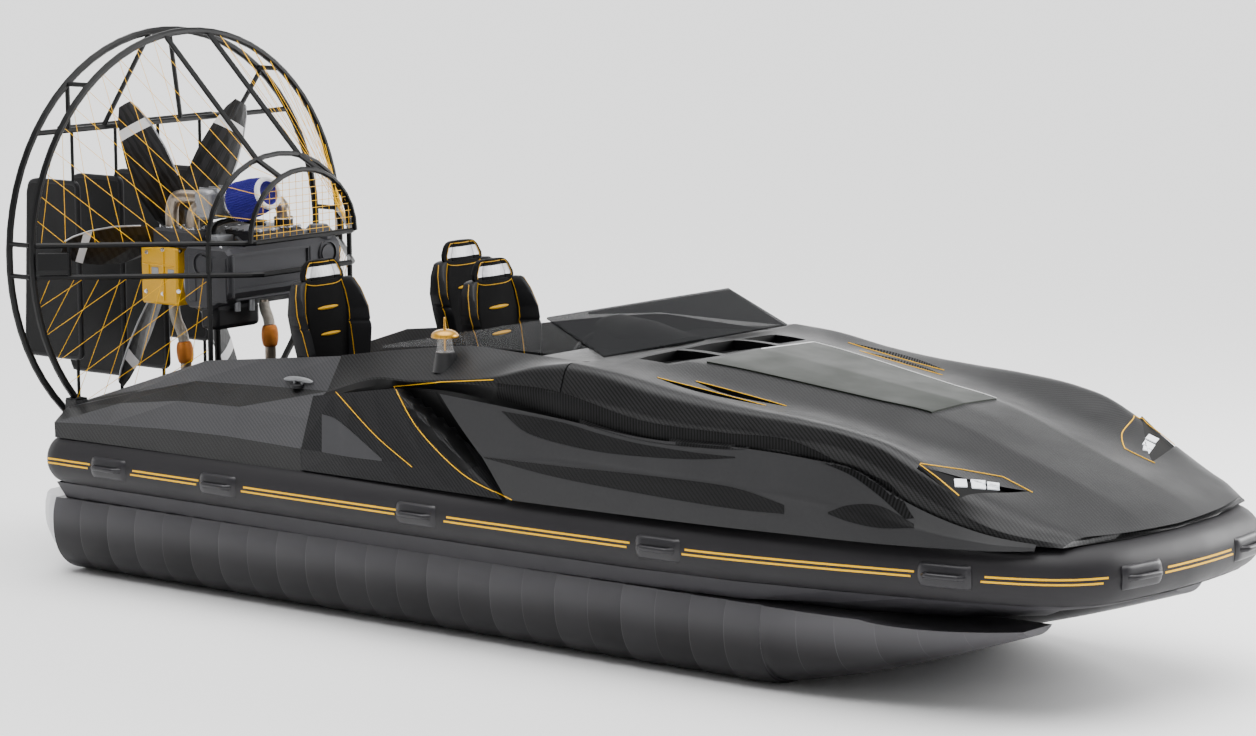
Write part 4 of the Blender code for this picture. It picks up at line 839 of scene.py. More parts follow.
# Plain satin lacquer over the sides' skins, with no weave to see
FLANK_LACQUER = Finish("flank_lacquer_grey", "carbon_grey", "#353536", "#303031", 0.40,
                       pitch=0.02, relief=0.00005)
# Black leaf-shaped painted reflections on the sides, drawn in the black twill
LEAF_REFLECTION = Twill("leaf_reflection_black", "carbon_black", "#161617", "#080809", 0.45,
                   pitch=0.008)
# Satin grey lacquer of the beacon's boss, the deck's tone without its weave
BOSS_LACQUER = Finish("boss_lacquer_grey", "carbon_grey", "#2b2b2c", "#262627", 0.36, pitch=0.02,
                      relief=0.00005, sheen=0.3)
# Ribbed black laminate in the groove under the fender ridge
GROOVE_RIBS = Ribbed("groove_ribs_black", "carbon_black", "#1a1a1b", "#010101", 0.5,
                     pitch=0.020, relief=0.001, sheen=0.1)
# Black painted shade inside the slots, lamp openings and recesses, on the wall under the groove's lip and on
# the sheet over the quarter opening
RECESS_SHADE = Finish("recess_painted_shade_black", "lamp_black", "#0b0b0c", "#050506", 0.45, pitch=0.01,
                      relief=0.0001)
# Ribbed flaps in the hood slots
FLAP_RIBS = Ribbed("flap_ribs_black", "carbon_black", "#5a5a5c", "#060606", 0.42, pitch=0.020,
                   relief=0.001)
# Ribbed air inlet skins
INLET_RIBS = Ribbed("inlet_ribs_grey", "carbon_grey", "#565658", "#1c1c1d", 0.45, pitch=0.030,
                    relief=0.002)
# Coated boat fabric of the collar, dull with a soft sheen
COLLAR_FABRIC = Finish("collar_coated_fabric", "collar_rubber", "#29282a", "#252426", 0.46,
                       pitch=0.003, relief=0.0002)
# Moulded rubber of the collar's handles
HANDLE_RUBBER = Finish("handle_moulded_rubber", "collar_rubber", "#2c2b2e", "#242326", 0.36,
                       pitch=0.004, sheen=0.35)
# Vinyl tape stripes on the collar
STRIPE_VINYL = Finish("stripe_vinyl_yellow", "collar_rubber", "#ffc400", "#f7bb00", 0.46,
                      relief=0.00002)
# Polyethylene skid plates, faintly drawn along the boat, with painted highlights on the plates' rear edges and
# upper parts
SKID_PLASTIC = Scaled("skid_polyethylene_black", "skid_plate", "#5a595c", "#1c1b1d", 0.42,
                      relief=0.0, patchy=0.08)
# Moulded pale caps on the sponsons' sterns
CAP_PLASTIC = Finish("cap_moulded_pale", "pale_cap", "#dcdddf", "#cfd0d2", 0.42)
# Moulded dark hull between the collar and the sponsons
HULL_MOULDING = Finish("hull_moulded_black", "hull_black", "#3a393c", "#343336", 0.45, pitch=0.01)
# Satin lacquer panel of the hood, grey with a green cast
HOOD_LACQUER = Finish("hood_lacquer_green_grey", "hood_glass", "#262a25", "#242823", 0.36,
                      sheen=0.15, pitch=0.03, relief=0.00003)
# Smoked acrylic of the windscreen
SMOKED_ACRYLIC = Glazing("smoked_acrylic", "smoked_glass", "#141517", "#111214", 0.08,
                         relief=0.0, patchy=0.0, clear=0.28, sheen=0.15)
# Nearly clear acrylic of the near side light
CLEAR_ACRYLIC = Glazing("clear_acrylic", "smoked_glass", "#d9dadb", "#d2d3d4", 0.04,
                        relief=0.0, patchy=0.0, clear=0.96, sheen=0.2)
# Closed-cell foam deck covering with a fine pebble
DECK_FOAM = Grained("deck_foam_black", "deck_mat", "#262627", "#141415", 0.78, pitch=0.006,
                    relief=0.0008)
# Moulded seat pans
PAN_MOULDING = Twill("pan_fibre_black", "seat_shell", "#202021", "#0f0f10", 0.4,
                     pitch=0.008)
# Smooth dark grey hide of the bolsters, a fine closed grain
BOLSTER_HIDE = Grained("bolster_hide_grey", "seat_leather", "#151517", "#0e0e10", 0.52,
                       pitch=0.004, relief=0.0004, sheen=0.14)
# Black perforated hide of the seats' middles
CENTRE_HIDE = Grained("centre_hide_black", "seat_leather", "#070708", "#030303", 0.70,
                      pitch=0.005, relief=0.0006, sheen=0.08)
# Silver-grey brushed hide of the headrests' band
BAND_HIDE = Brushed("band_hide_silver", "seat_leather", "#e2e2e4", "#9b9b9f", 0.34, metallic=0.3,
                    pitch=0.006, relief=0.0003)
# Yellow piping cord and stitched bars
PIPING = Finish("piping_cord_yellow", "seat_leather", "#d29e00", "#a87c00", 0.5, pitch=0.003,
                relief=0.0006)
# Powder-coated steel tube of the cage
CAGE_POWDER = Finish("cage_powder_black", "cage_paint", "#111112", "#0c0c0d", 0.38, pitch=0.004,
                     relief=0.0002)
# Yellow coated steel wire of the guard
GUARD_WIRE = Finish("guard_wire_yellow", "cage_paint", "#ffc400", "#f0b200", 0.4, pitch=0.004,
                    relief=0.0001)
# Dark enamelled engine castings with a sand-cast grain
BLOCK_CASTING = Finish("block_casting_dark", "engine_metal", "#3f3f42", "#353538", 0.46,
                       metallic=0.25, pitch=0.006, relief=0.0008)
# Bare grey aluminium castings
BARE_CASTING = Finish("bare_casting_grey", "cast_grey", "#9c9da0", "#7d7e81", 0.44, metallic=0.55,
                      pitch=0.007, relief=0.001)
# Yellow enamel of the gearbox
GEAR_ENAMEL = Finish("gear_enamel_yellow", "gearbox_yellow", "#d9a400", "#cc9800", 0.40,
                     pitch=0.010, relief=0.0004, sheen=0.3)
# Bent stainless pipe, browned by heat and drawn along its length
BENT_STEEL = Brushed("bent_steel_heat_browned", "pipe_steel", "#a59a8d", "#7d7267", 0.34,
                     metallic=0.85, pitch=0.006, relief=0.0003)
# Bright flanges, clamps and bolts
BRIGHT_STEEL = Finish("bright_steel", "pipe_steel", "#d2d2d4", "#bcbcbf", 0.24, metallic=1.0,
                      relief=0.0001)
# Stainless braid over the exhausts' upper hoses
STEEL_BRAID = Braided("steel_braid", "pipe_steel", "#c9c2b8", "#5c554d", 0.36, metallic=0.8,
                      pitch=0.014, relief=0.002)
# Copper-coloured braid of the flexible joints
COPPER_BRAID = Braided("copper_braid", "pipe_steel", "#f29a4a", "#8e4a18", 0.38, metallic=0.7,
                       pitch=0.014, relief=0.002)
# Violet pleated filter medium
FILTER_CLOTH = Grained("filter_cloth_violet", "filter_violet", "#3d33a0", "#1a1460", 0.62,
                       pitch=0.004, relief=0.0006)
# Black moulded engine sump, hoses and boxes
BLACK_MOULDING = Finish("black_moulding", "engine_metal", "#1d1d1f", "#131315", 0.42, pitch=0.004,
                        relief=0.0004)
# Gloss black laminate blades with a pale band
BLADE_FIBRE = Banded("blade_fibre_black", "blade_carbon", "#1b1b1d", "#050506", 0.40,
                     pitch=0.018, relief=0.0002, sheen=0.35)
# Pale edge guard of the blades
EDGE_METAL = Brushed("blade_edge_metal", "blade_carbon", "#c4c5c8", "#9a9b9e", 0.3, metallic=0.6)
# Stretched black rudder skins
RUDDER_SKIN = Finish("rudder_skin_black", "rudder_black", "#0c0c0d", "#060607", 0.55, pitch=0.02,
                     relief=0.0005)
# Dark grey edge tube of the rudders
RUDDER_EDGE = Finish("rudder_edge_grey", "rudder_black", "#1c1c1e", "#131315", 0.45)
# Bead-blasted aluminium of the mooring cleats, pale and matt
CLEAT_CASTING = Finish("cleat_blasted_aluminium", "cast_grey", "#8f9092", "#7f8082", 0.5,
                       metallic=0.4, pitch=0.003, relief=0.0003)
# Golden lacquered cap of the beacon
BEACON_LACQUER = Finish("beacon_lacquer_gold", "beacon_gold", "#d6a132", "#a8761a", 0.26,
                        metallic=0.5, coat=0.4, pitch=0.02)
# Clear moulded foot of the beacon
BEACON_CLEAR = Glazing("beacon_clear", "smoked_glass", "#f0f0f0", "#e6e6e6", 0.08,
                       relief=0.00001, patchy=0.01, clear=0.85)
# Gloss black inside of lamps and slots
LAMP_BLACK = Finish("lamp_moulding_black", "lamp_black", "#0a0a0b", "#050506", 0.45,
                     sheen=0.1)
# White diode lenses
LAMP_DIODE = Lit("lamp_diode_white", "lamp_black", "#f5f6f8", "#c9ccd2", 0.3, pitch=0.008,
                 relief=0.001)
# Stitched black rim of the wheel
WHEEL_HIDE = Grained("wheel_hide_black", "wheel_black", "#2a2a2c", "#151516", 0.5, pitch=0.004,
                     relief=0.0005)
# Seam and gasket black
SEAM_BLACK = Finish("seam_gasket_black", "hull_black", "#0d0d0e", "#080809", 0.6)
# Pale satin laminate of the near trough
PALE_FIBRE = Twill("trough_fibre_pale", "carbon_grey", "#9a9a9c", "#77777a", 0.42, coat=0.25,
                   pitch=0.011)
# White edge trim of the filter's rim, also the painted highlight along the hood panel's edges
WHITE_TRIM_AND_GLINT = Finish("edge_trim_and_glint_white", "hood_glass", "#f2f2f2", "#e2e2e2", 0.4)

NODE_FINISHES: dict[str, Finish] = {
    "hull_tray": HULL_MOULDING, "collar_tube": COLLAR_FABRIC, "sponson": SKID_PLASTIC,
    "tail_cone": CAP_PLASTIC, "stern_deck": STERN_FIBRE, "cockpit_side": DECK_FIBRE,
    "side_panel": FLANK_LACQUER, "quarter_panel": FLANK_FIBRE, "bow_deck": DECK_FIBRE,
    "hood_glass_panel": HOOD_LACQUER, "engine_deck": DECK_FOAM, "cockpit_floor": DECK_FOAM,
    "dash_panel": DECK_FIBRE, "windscreen": SMOKED_ACRYLIC, "side_glass_port": SMOKED_ACRYLIC,
    "side_glass_starboard": CLEAR_ACRYLIC, "steering": WHEEL_HIDE, "cage": CAGE_POWDER,
    "propeller": BLADE_FIBRE, "stern_platform": CAGE_POWDER, "engine_block": BLOCK_CASTING,
    "bell_housing": BARE_CASTING, "gearbox": GEAR_ENAMEL, "intake_pipes": BENT_STEEL,
    "air_filter": FILTER_CLOTH, "exhaust_pipe": BENT_STEEL, "engine_stand": CAGE_POWDER,
    "beacon": BEACON_LACQUER, "headlight": LAMP_BLACK, "rudder": RUDDER_SKIN,
    "seat_driver_base": PAN_MOULDING, "seat_rear_port_base": PAN_MOULDING,
    "seat_rear_starboard_base": PAN_MOULDING, "seat": BOLSTER_HIDE,
}


def dress_nodes() -> None:
    """Gives every solid the finish whose name starts its own, the longest name first."""
    for name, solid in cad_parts.items():
        keys = sorted((key for key in NODE_FINISHES if name.startswith(key)), key=len)
        made = NODE_FINISHES[keys[-1]].build()
        for slot in solid.material_slots:
            slot.material = made
    LOG.info("dressed %d solids", len(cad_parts))


def add_piece(name: str, shape: Shape, finishes: Finish | Sequence[Finish], body: str = "hull",
              stands_for: Sequence[str] = (), bevel: float = 0.0, soften: int = 0,
              zones: np.ndarray | None = None, sharp_deg: float = 35.0) -> Object:
    """Makes one piece from a shape and lets it ride on a body.

    Args:
        name: the piece's name.
        shape: its mesh, in stations.
        finishes: its finish, or several that zones chooses from.
        body: the body that it rides on.
        stands_for: solids that it replaces.
        bevel: width of a live bevel on its sharp edges.
        soften: levels of subdivision.
        zones: number of the finish for each face.
        sharp_deg: edges sharper than this stay crisp.

    Returns:
        The object.
    """
    finishes = [finishes] if isinstance(finishes, Finish) else list(finishes)
    mesh = bpy.data.meshes.new(name)
    mesh.from_pydata((shape.points - (MID_X, 0.0, 0.0)).tolist(), [], shape.faces)
    if zones is not None:
        mesh.polygons.foreach_set("material_index", zones.astype(np.int32))
    work = bmesh.new()
    work.from_mesh(mesh)
    bmesh.ops.recalc_face_normals(work, faces=work.faces)
    work.to_mesh(mesh)
    work.free()
    for finish in finishes:
        mesh.materials.append(finish.build())
    mesh.shade_smooth()
    mesh.set_sharp_from_angle(angle=np.radians(sharp_deg))
    made = bpy.data.objects.new(name, mesh)
    bpy.context.scene.collection.objects.link(made)
    if bevel:
        edge = made.modifiers.new("edge", "BEVEL")
        edge.width = bevel
        edge.segments = 2
        edge.limit_method = "ANGLE"
    if soften:
        rounder = made.modifiers.new("rounder", "SUBSURF")
        rounder.levels = rounder.render_levels = soften
    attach(made, body)
    if stands_for:
        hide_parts(*stands_for)
    LOG.info("piece %s: %d faces on %s", name, len(shape.faces), body)
    return made


# ---- Studio


@dataclass
class Studio:
    """Pale floor, soft lights and the camera of the photograph.

    Attributes:
        floor_size: edge length of the floor.
        sky: strength of the even white surround.
        wall: how much stronger its far wall is.
        roof: how much stronger it is straight overhead.
        top: power of the large light overhead.
        fill: power of the light beside the camera.
        rim: power of the light behind the bow.
    """

    floor_size: float = 120.0
    sky: float = 0.22
    wall: float = 2.0
    roof: float = 4.5
    top: float = 300.0
    fill: float = 120.0
    rim: float = 1400.0

    def add_camera(self) -> None:
        """Camera at the photograph's place, with its lens and no shift."""
        lens = bpy.data.cameras.new("camera")
        lens.lens, lens.sensor_width = LENS_MM, SENSOR_MM
        lens.dof.use_dof = False
        holder = bpy.data.objects.new("camera", lens)
        bpy.context.scene.collection.objects.link(holder)
        right, up, forward = camera_axes()
        turn = np.eye(4)
        turn[:3, 0], turn[:3, 1], turn[:3, 2] = right, up, -forward
        turn[:3, 3] = np.array(CAMERA_PLACE) - (MID_X, 0.0, 0.0)
        holder.matrix_world = Matrix(turn.tolist())
        bpy.context.scene.camera = holder

    def add_floor(self) -> None:
        """Plain pale floor."""
        half = self.floor_size / 2
        mesh = bpy.data.meshes.new("floor")
        corners = [(-half, -half, 0.0), (half, -half, 0.0), (half, half, 0.0), (-half, half, 0.0)]
        mesh.from_pydata(corners, [], [(0, 1, 2, 3)])
        mesh.materials.append(Finish("floor_paint_pale", "hull_black", "#ffffff", "#fbfbfb",
                                     0.9, relief=0.0).build())
        floor = bpy.data.objects.new("floor", mesh)
        bpy.context.scene.collection.objects.link(floor)

    def add_light(self, name: str, power: float, size: float, place: Sequence,
                  target: Sequence) -> None:
        """One square area light aimed at a point."""
        lamp = bpy.data.lights.new(name, "AREA")
        lamp.energy, lamp.size = power, size
        holder = bpy.data.objects.new(name, lamp)
        bpy.context.scene.collection.objects.link(holder)
        holder.location = place
        aim = Vector(target) - Vector(place)
        holder.rotation_euler = aim.to_track_quat("-Z", "Y").to_euler()

    def surround(self) -> World:
        """White surround whose far wall glows and whose near side is dim.

        The strength is the sky's, plus the wall's times a step on how far a direction points
        away from the boat's near side and how low it lies, plus the roof's times a step on height.
        """
        world = bpy.data.worlds.new("studio")
        world.use_nodes = True
        tree = world.node_tree
        aim = add_node(tree, "ShaderNodeTexCoord").outputs["Generated"]
        axes = add_node(tree, "ShaderNodeSeparateXYZ", aim).outputs
        across = add_node(tree, "ShaderNodeMath", axes[0], -0.55, operation="MULTIPLY").outputs[0]
        far = add_node(tree, "ShaderNodeMath", axes[1], 0.85, across, operation="MULTIPLY_ADD")
        wall = add_node(tree, "ShaderNodeMapRange", far.outputs[0], -0.35, 0.55,
                        interpolation_type="SMOOTHSTEP").outputs[0]
        low = add_node(tree, "ShaderNodeMapRange", axes[2], 0.22, 0.62, 1.0, 0.10,
                       interpolation_type="SMOOTHSTEP").outputs[0]
        both = add_node(tree, "ShaderNodeMath", wall, low, operation="MULTIPLY").outputs[0]
        sides = add_node(tree, "ShaderNodeMath", both, self.wall, self.sky,
                         operation="MULTIPLY_ADD").outputs[0]
        roof = add_node(tree, "ShaderNodeMapRange", axes[2], 0.72, 0.92,
                        interpolation_type="SMOOTHSTEP").outputs[0]
        strength = add_node(tree, "ShaderNodeMath", roof, self.roof, sides,
                            operation="MULTIPLY_ADD").outputs[0]
        back = tree.nodes["Background"]
        back.inputs[0].default_value = linear("#ffffff")
        tree.links.new(strength, back.inputs[1])
        return world

    def build(self) -> None:
        """Sets up the whole studio."""
        bpy.context.scene.world = self.surround()
        self.add_camera()
        self.add_floor()
        self.add_light("top_softbox", self.top, 9.0, (-1.0, -1.0, 9.0), (0.0, 0.0, 1.0))
        self.add_light("camera_fill", self.fill, 6.0, (9.0, -12.0, 5.5), (0.5, 0.0, 1.2))
        self.add_light("bow_rim", self.rim, 6.0, (7.0, 8.0, 5.0), (2.0, 0.0, 1.2))


# ---- Hull


@dataclass
class CollarStripes:
    """Twin yellow stripes on the collar's outermost line, broken at the handles.

    Attributes:
        radius: the collar's radius.
        spread: half the distance between the two stripes' middles.
        width: breadth of a stripe.
        gap: half the length left free at a handle.
        slant: how far the upper stripe runs past the lower one.
    """

    radius: float = 0.155
    spread: float = 0.0125
    width: float = 0.0115
    gap: float = 0.185
    slant: float = 0.02
    handles: tuple = HANDLE_STATIONS

    def outer_line(self) -> tuple[np.ndarray, np.ndarray]:
        """The collar's centre line on the starboard half, and its outward direction."""
        collar = Collar()
        path = collar.centre(1801)[:901]
        path = np.vstack([path[:1] - np.array([[0.10, 0.0, 0.0]]), path])
        slope = unit(np.gradient(path, axis=0))
        return path, unit(np.column_stack([slope[:, 1], -slope[:, 0], 0 * slope[:, 0]]))

    def build(self) -> None:
        """Lays both stripes piece by piece on both sides."""
        line, outward = self.outer_line()
        reach = np.concatenate([[0.0], np.cumsum(np.linalg.norm(np.diff(line, axis=0), axis=1))])
        stops = [reach[np.argmin(np.abs(line[:, 0] - x))] for x in self.handles]
        bow = reach[np.argmin(np.abs(line[:, 1] + 0.474) + (line[:, 0] < 6.8) * 9.0)]
        stops = [*stops, bow]
        parts = []
        for level in (1, -1):
            lean = self.slant * level
            ends = [reach[0] + 0.01, *stops, reach[-1] * 2.0]
            for number, (first, last) in enumerate(zip(ends, ends[1:])):
                start = first + (self.gap + lean * 0.5 if number else 0.0)
                stop = min(last - self.gap + lean * 0.5, reach[-1])
                place = np.arange(start, stop, 0.03)
                place = np.append(place, stop)
                centre, out = (np.stack([np.interp(place, reach, column) for column in array.T],
                                        axis=1) for array in (line, outward))
                turn = self.spread * level / self.radius
                normals = out * np.cos(turn) + np.array([0.0, 0.0, np.sin(turn)])
                parts.append(strip(centre + normals * self.radius, normals, self.width, 0.0022))
        total = joined(parts)
        add_piece("collar_stripes", total + total.across(), STRIPE_VINYL)


@dataclass
class DeckTrim:
    """Yellow edge lines, ribs, the quarter's grey inlay, and the painted reflections and painted shadow of the
    decks and sides.
    """

    line_width: float = 0.0052

    def build(self, deck: Shape) -> None:
        """Lays the trim on the starboard side from the photograph, and mirrors it.

        Args:
            deck: the carved bow deck, the starboard side skin and the starboard coaming.
        """
        sides = Surface(("quarter_panel_starboard", "stern_deck_starboard"), deck)
        line = self.line_width
        edges = joined([
            sides.line([(493.5, 379.8), (440, 382), (394, 386.5)], line, curved=False),
            sides.line([(394, 386.5), (419, 430), (464, 475), (512, 500)], line),
            sides.line([(336, 392), (375, 435), (412, 467)], 0.004),
        ])
        add_piece("side_edge_lines", edges + edges.across(), STRIPE_VINYL)
        groove = sides.patch(
            [(497, 383), (560, 392), (640, 420), (720, 432), (790, 440), (850, 468), (890, 484),
             (914, 518)],
            [(497, 398), (560, 417), (640, 440), (720, 449), (780, 450), (840, 470), (872, 490),
             (905, 519)], 90, 7)
        add_piece("groove_ribs", groove + groove.across(), GROOVE_RIBS)
        # painted shadow: a black sheet over the opening between the quarter's yellow line and the side panel's
        # rear edge
        shadow = sides.patch([(397, 388), (422, 431), (464, 472)],
                             [(436, 392), (457, 430), (478, 466)], 40, 7)
        add_piece("quarter_painted_shadow", shadow + shadow.across(), RECESS_SHADE)
        plain = sides.patch([(322, 414), (340, 422), (382, 459)],
                            [(322, 452), (350, 457), (382, 461)], 30, 7)
        add_piece("quarter_inlay", plain + plain.across(), QUARTER_LACQUER)
        # painted reflections: dark leaf-shaped patches on the side skins' gloss
        leaves = [
            ([(502, 411), (560, 422), (600, 434), (640, 444), (690, 452), (735, 457)],
             [(502, 412), (530, 434), (590, 450), (640, 456), (690, 459), (735, 458)]),
            ([(484, 457), (560, 466), (660, 477), (735, 488), (784, 505)],
             [(484, 458), (560, 478), (660, 497), (735, 509), (784, 514)]),
            ([(828, 512), (850, 505), (880, 506), (914, 524)],
             [(828, 514), (850, 522), (880, 528), (914, 528)]),
        ]
        shape = joined(sides.patch(upper, lower, 50, 7) for upper, lower in leaves)
        add_piece("side_leaf_reflections", shape + shape.across(), LEAF_REFLECTION)


@dataclass
class Collar:
    """Smooth inflated collar with its twelve moulded grab handles.

    Attributes:
        plan: station and half-breadth of its centre line, stern to bow.
        radius: radius of the tube.
        low_z: height of its middle at the stern.
        rise: how much higher the middle is at the bow.
        stations: stations of the five handles of each side.
        bow_y: half-breadth of the pair at the bow.
    """

    plan: tuple = COLLAR_PLAN
    radius: float = 0.155
    low_z: float = 0.715
    rise: float = 0.042
    stations: tuple = HANDLE_STATIONS
    bow_y: float = 0.474

    def centre(self, count: int) -> np.ndarray:
        """Centre line from the starboard stern round the bow to the port stern."""
        half = np.array(self.plan)
        port = half[::-1] * (1.0, 1.0)
        both = np.vstack([np.column_stack([half[:, 0], -half[:, 1]]), [(7.170, 0.0)], port])
        path = smooth(both, count)
        share = np.clip((path[:, 0] - 4.5) / 2.4, 0.0, 1.0)
        height = self.low_z + self.rise * share ** 2 * (3 - 2 * share)
        return np.column_stack([path, height])

    def handle(self, middle: np.ndarray, outward: np.ndarray) -> Shape:
        """Raised pad with rounded corners and a bowed grip, drawn along, outward and up.

        The pad's height over the tube is 12 mm times the product of two flat-topped bumps
        (1 - u^8)(1 - v^8), less 4 mm so that its rim sinks into the fabric.
        """
        along = np.array([-outward[1], outward[0], 0.0])
        axes = np.array([along, outward, (0.0, 0.0, 1.0)])
        u, v = np.meshgrid(np.linspace(-1, 1, 25), np.linspace(-1, 1, 17), indexing="ij")
        lift = 0.018 * (1 - u ** 8) * (1 - v ** 8) - 0.004
        turn = v * 0.42
        reach = self.radius + lift
        outer = np.stack([u * (0.150 - 0.012 * v ** 4), reach * np.cos(turn), reach * np.sin(turn)], axis=-1)
        up = np.stack([u * 0.0, np.cos(turn), np.sin(turn)], axis=-1)
        pad = sheet_over(outer, up, 0.003)
        grip = tube(smooth([(-0.108, self.radius + 0.004, 0.0), (-0.094, self.radius + 0.028, 0.002),
                            (-0.066, self.radius + 0.043, 0.004), (0.066, self.radius + 0.043, 0.004),
                            (0.094, self.radius + 0.028, 0.002),
                            (0.108, self.radius + 0.004, 0.0)], 30),
                    0.0145 + 0.006 * np.abs(np.linspace(-1, 1, 30)) ** 3, 12)
        both = pad + grip
        return Shape(middle + both.points @ axes, both.faces)

    def build(self) -> None:
        """Makes the collar, then its handles as one piece."""
        path = self.centre(361)
        stern = np.array([(-0.152, 0.30), (-0.150, 0.45), (-0.143, 0.66), (-0.125, 0.83),
                          (-0.095, 0.94), (-0.045, 0.99)])
        lead = path[:1] + stern[:, :1] * (1.0, 0.0, 0.0)
        tail = path[-1:] + stern[::-1, :1] * (1.0, 0.0, 0.0)
        radii = np.concatenate([stern[:, 1], np.ones(len(path)), stern[::-1, 1]]) * self.radius
        add_piece("collar_skin", tube(np.vstack([lead, path, tail]), radii, 48), COLLAR_FABRIC,
                  stands_for=("collar_tube",))
        slope = unit(np.gradient(path, axis=0))
        spots = [np.argmin(np.abs(path[:180, 0] - x)) for x in self.stations]
        spots.append(120 + np.argmin(np.abs(path[120:181, 1] + self.bow_y)))
        shapes = []
        for spot in spots:
            outward = unit(np.array([slope[spot, 1], -slope[spot, 0], 0.0]))
            shapes.append(self.handle(path[spot], outward))
        total = joined(shapes)
        add_piece("grab_handles", total + total.across(), HANDLE_RUBBER)


@dataclass
class Sponsons:
    """Two round sponsons whose skid scales each step down to the next one's front.

    Attributes:
        middle_y: half-breadth of a sponson's middle.
        radius: radius of a scale's stern edge.
        pitch: length of a scale.
        step: how much smaller its fore edge is; not used.
        count: scales on one side.
        stern_x: station of the first one.
        top_z: height of the flat top under the tray.
        fullness: power that fills the bilge out, under 1.
        bow: station, half-breadth, radius and keel height ahead of the scales.
    """

    middle_y: float = 0.82
    radius: float = 0.33
    pitch: float = 0.235
    step: float = 0.013
    count: int = 23
    stern_x: float = -0.05
    top_z: float = 0.4655
    fullness: float = 0.80
    bow: tuple = ((5.36, 0.82, 0.325, 0.036), (5.45, 0.82, 0.325, 0.040), (5.75, 0.815, 0.315, 0.105),
                  (6.05, 0.800, 0.295, 0.185), (6.35, 0.775, 0.265, 0.275),
                  (6.60, 0.740, 0.225, 0.355), (6.80, 0.700, 0.180, 0.420))

    def sections(self, rows: np.ndarray, corners: int = 48) -> np.ndarray:
        """Sections of the underside: cos and sin of the turn, each raised to the fullness
        below the middle, times the radius; the top is cut flat at top_z.

        Args:
            rows: station, half-breadth, radius and keel height of each section.
            corners: steps round a section.

        Returns:
            Array (sections, corners + 1, 3).
        """
        x, y, radius, keel = rows.T[:, :, None]
        middle = keel + radius
        start = np.arcsin(np.clip((self.top_z - middle) / radius, -0.98, 0.98))
        turn = start - (np.pi + 2 * start) * np.linspace(0.0, 1.0, corners + 1)[None]
        out, down = np.cos(turn), np.sin(turn)
        below = down < 0.0
        out = np.where(below, np.sign(out) * np.abs(out) ** self.fullness, out)
        down = np.where(below, -np.abs(down) ** self.fullness, down)
        return np.stack([x + 0 * out, -(y + radius * out), middle + radius * down], axis=-1)

    def build(self) -> None:
        """Makes both sponsons."""
        number = np.arange(self.count)
        aft = self.stern_x + self.pitch * number
        shares = np.array([0.0, 0.03, 0.35, 0.7, 0.985])
        drop = np.array([0.5, 0.0, 1.5, 5.0, 13.0]) * 0.001
        x = (aft[:, None] + self.pitch * shares).ravel()
        inset = np.tile(drop, self.count)
        rows = np.column_stack([x, np.full_like(x, self.middle_y), self.radius - inset, inset])
        rows = np.vstack([rows, smooth(np.array(self.bow), 40)])
        shape = grid(self.sections(rows), around=True, caps=True)
        for side in Side:
            add_piece(f"sponson_scales_{side.label}", shape.on(side), SKID_PLASTIC,
                      stands_for=(f"sponson_{side.label}",), sharp_deg=9.0)


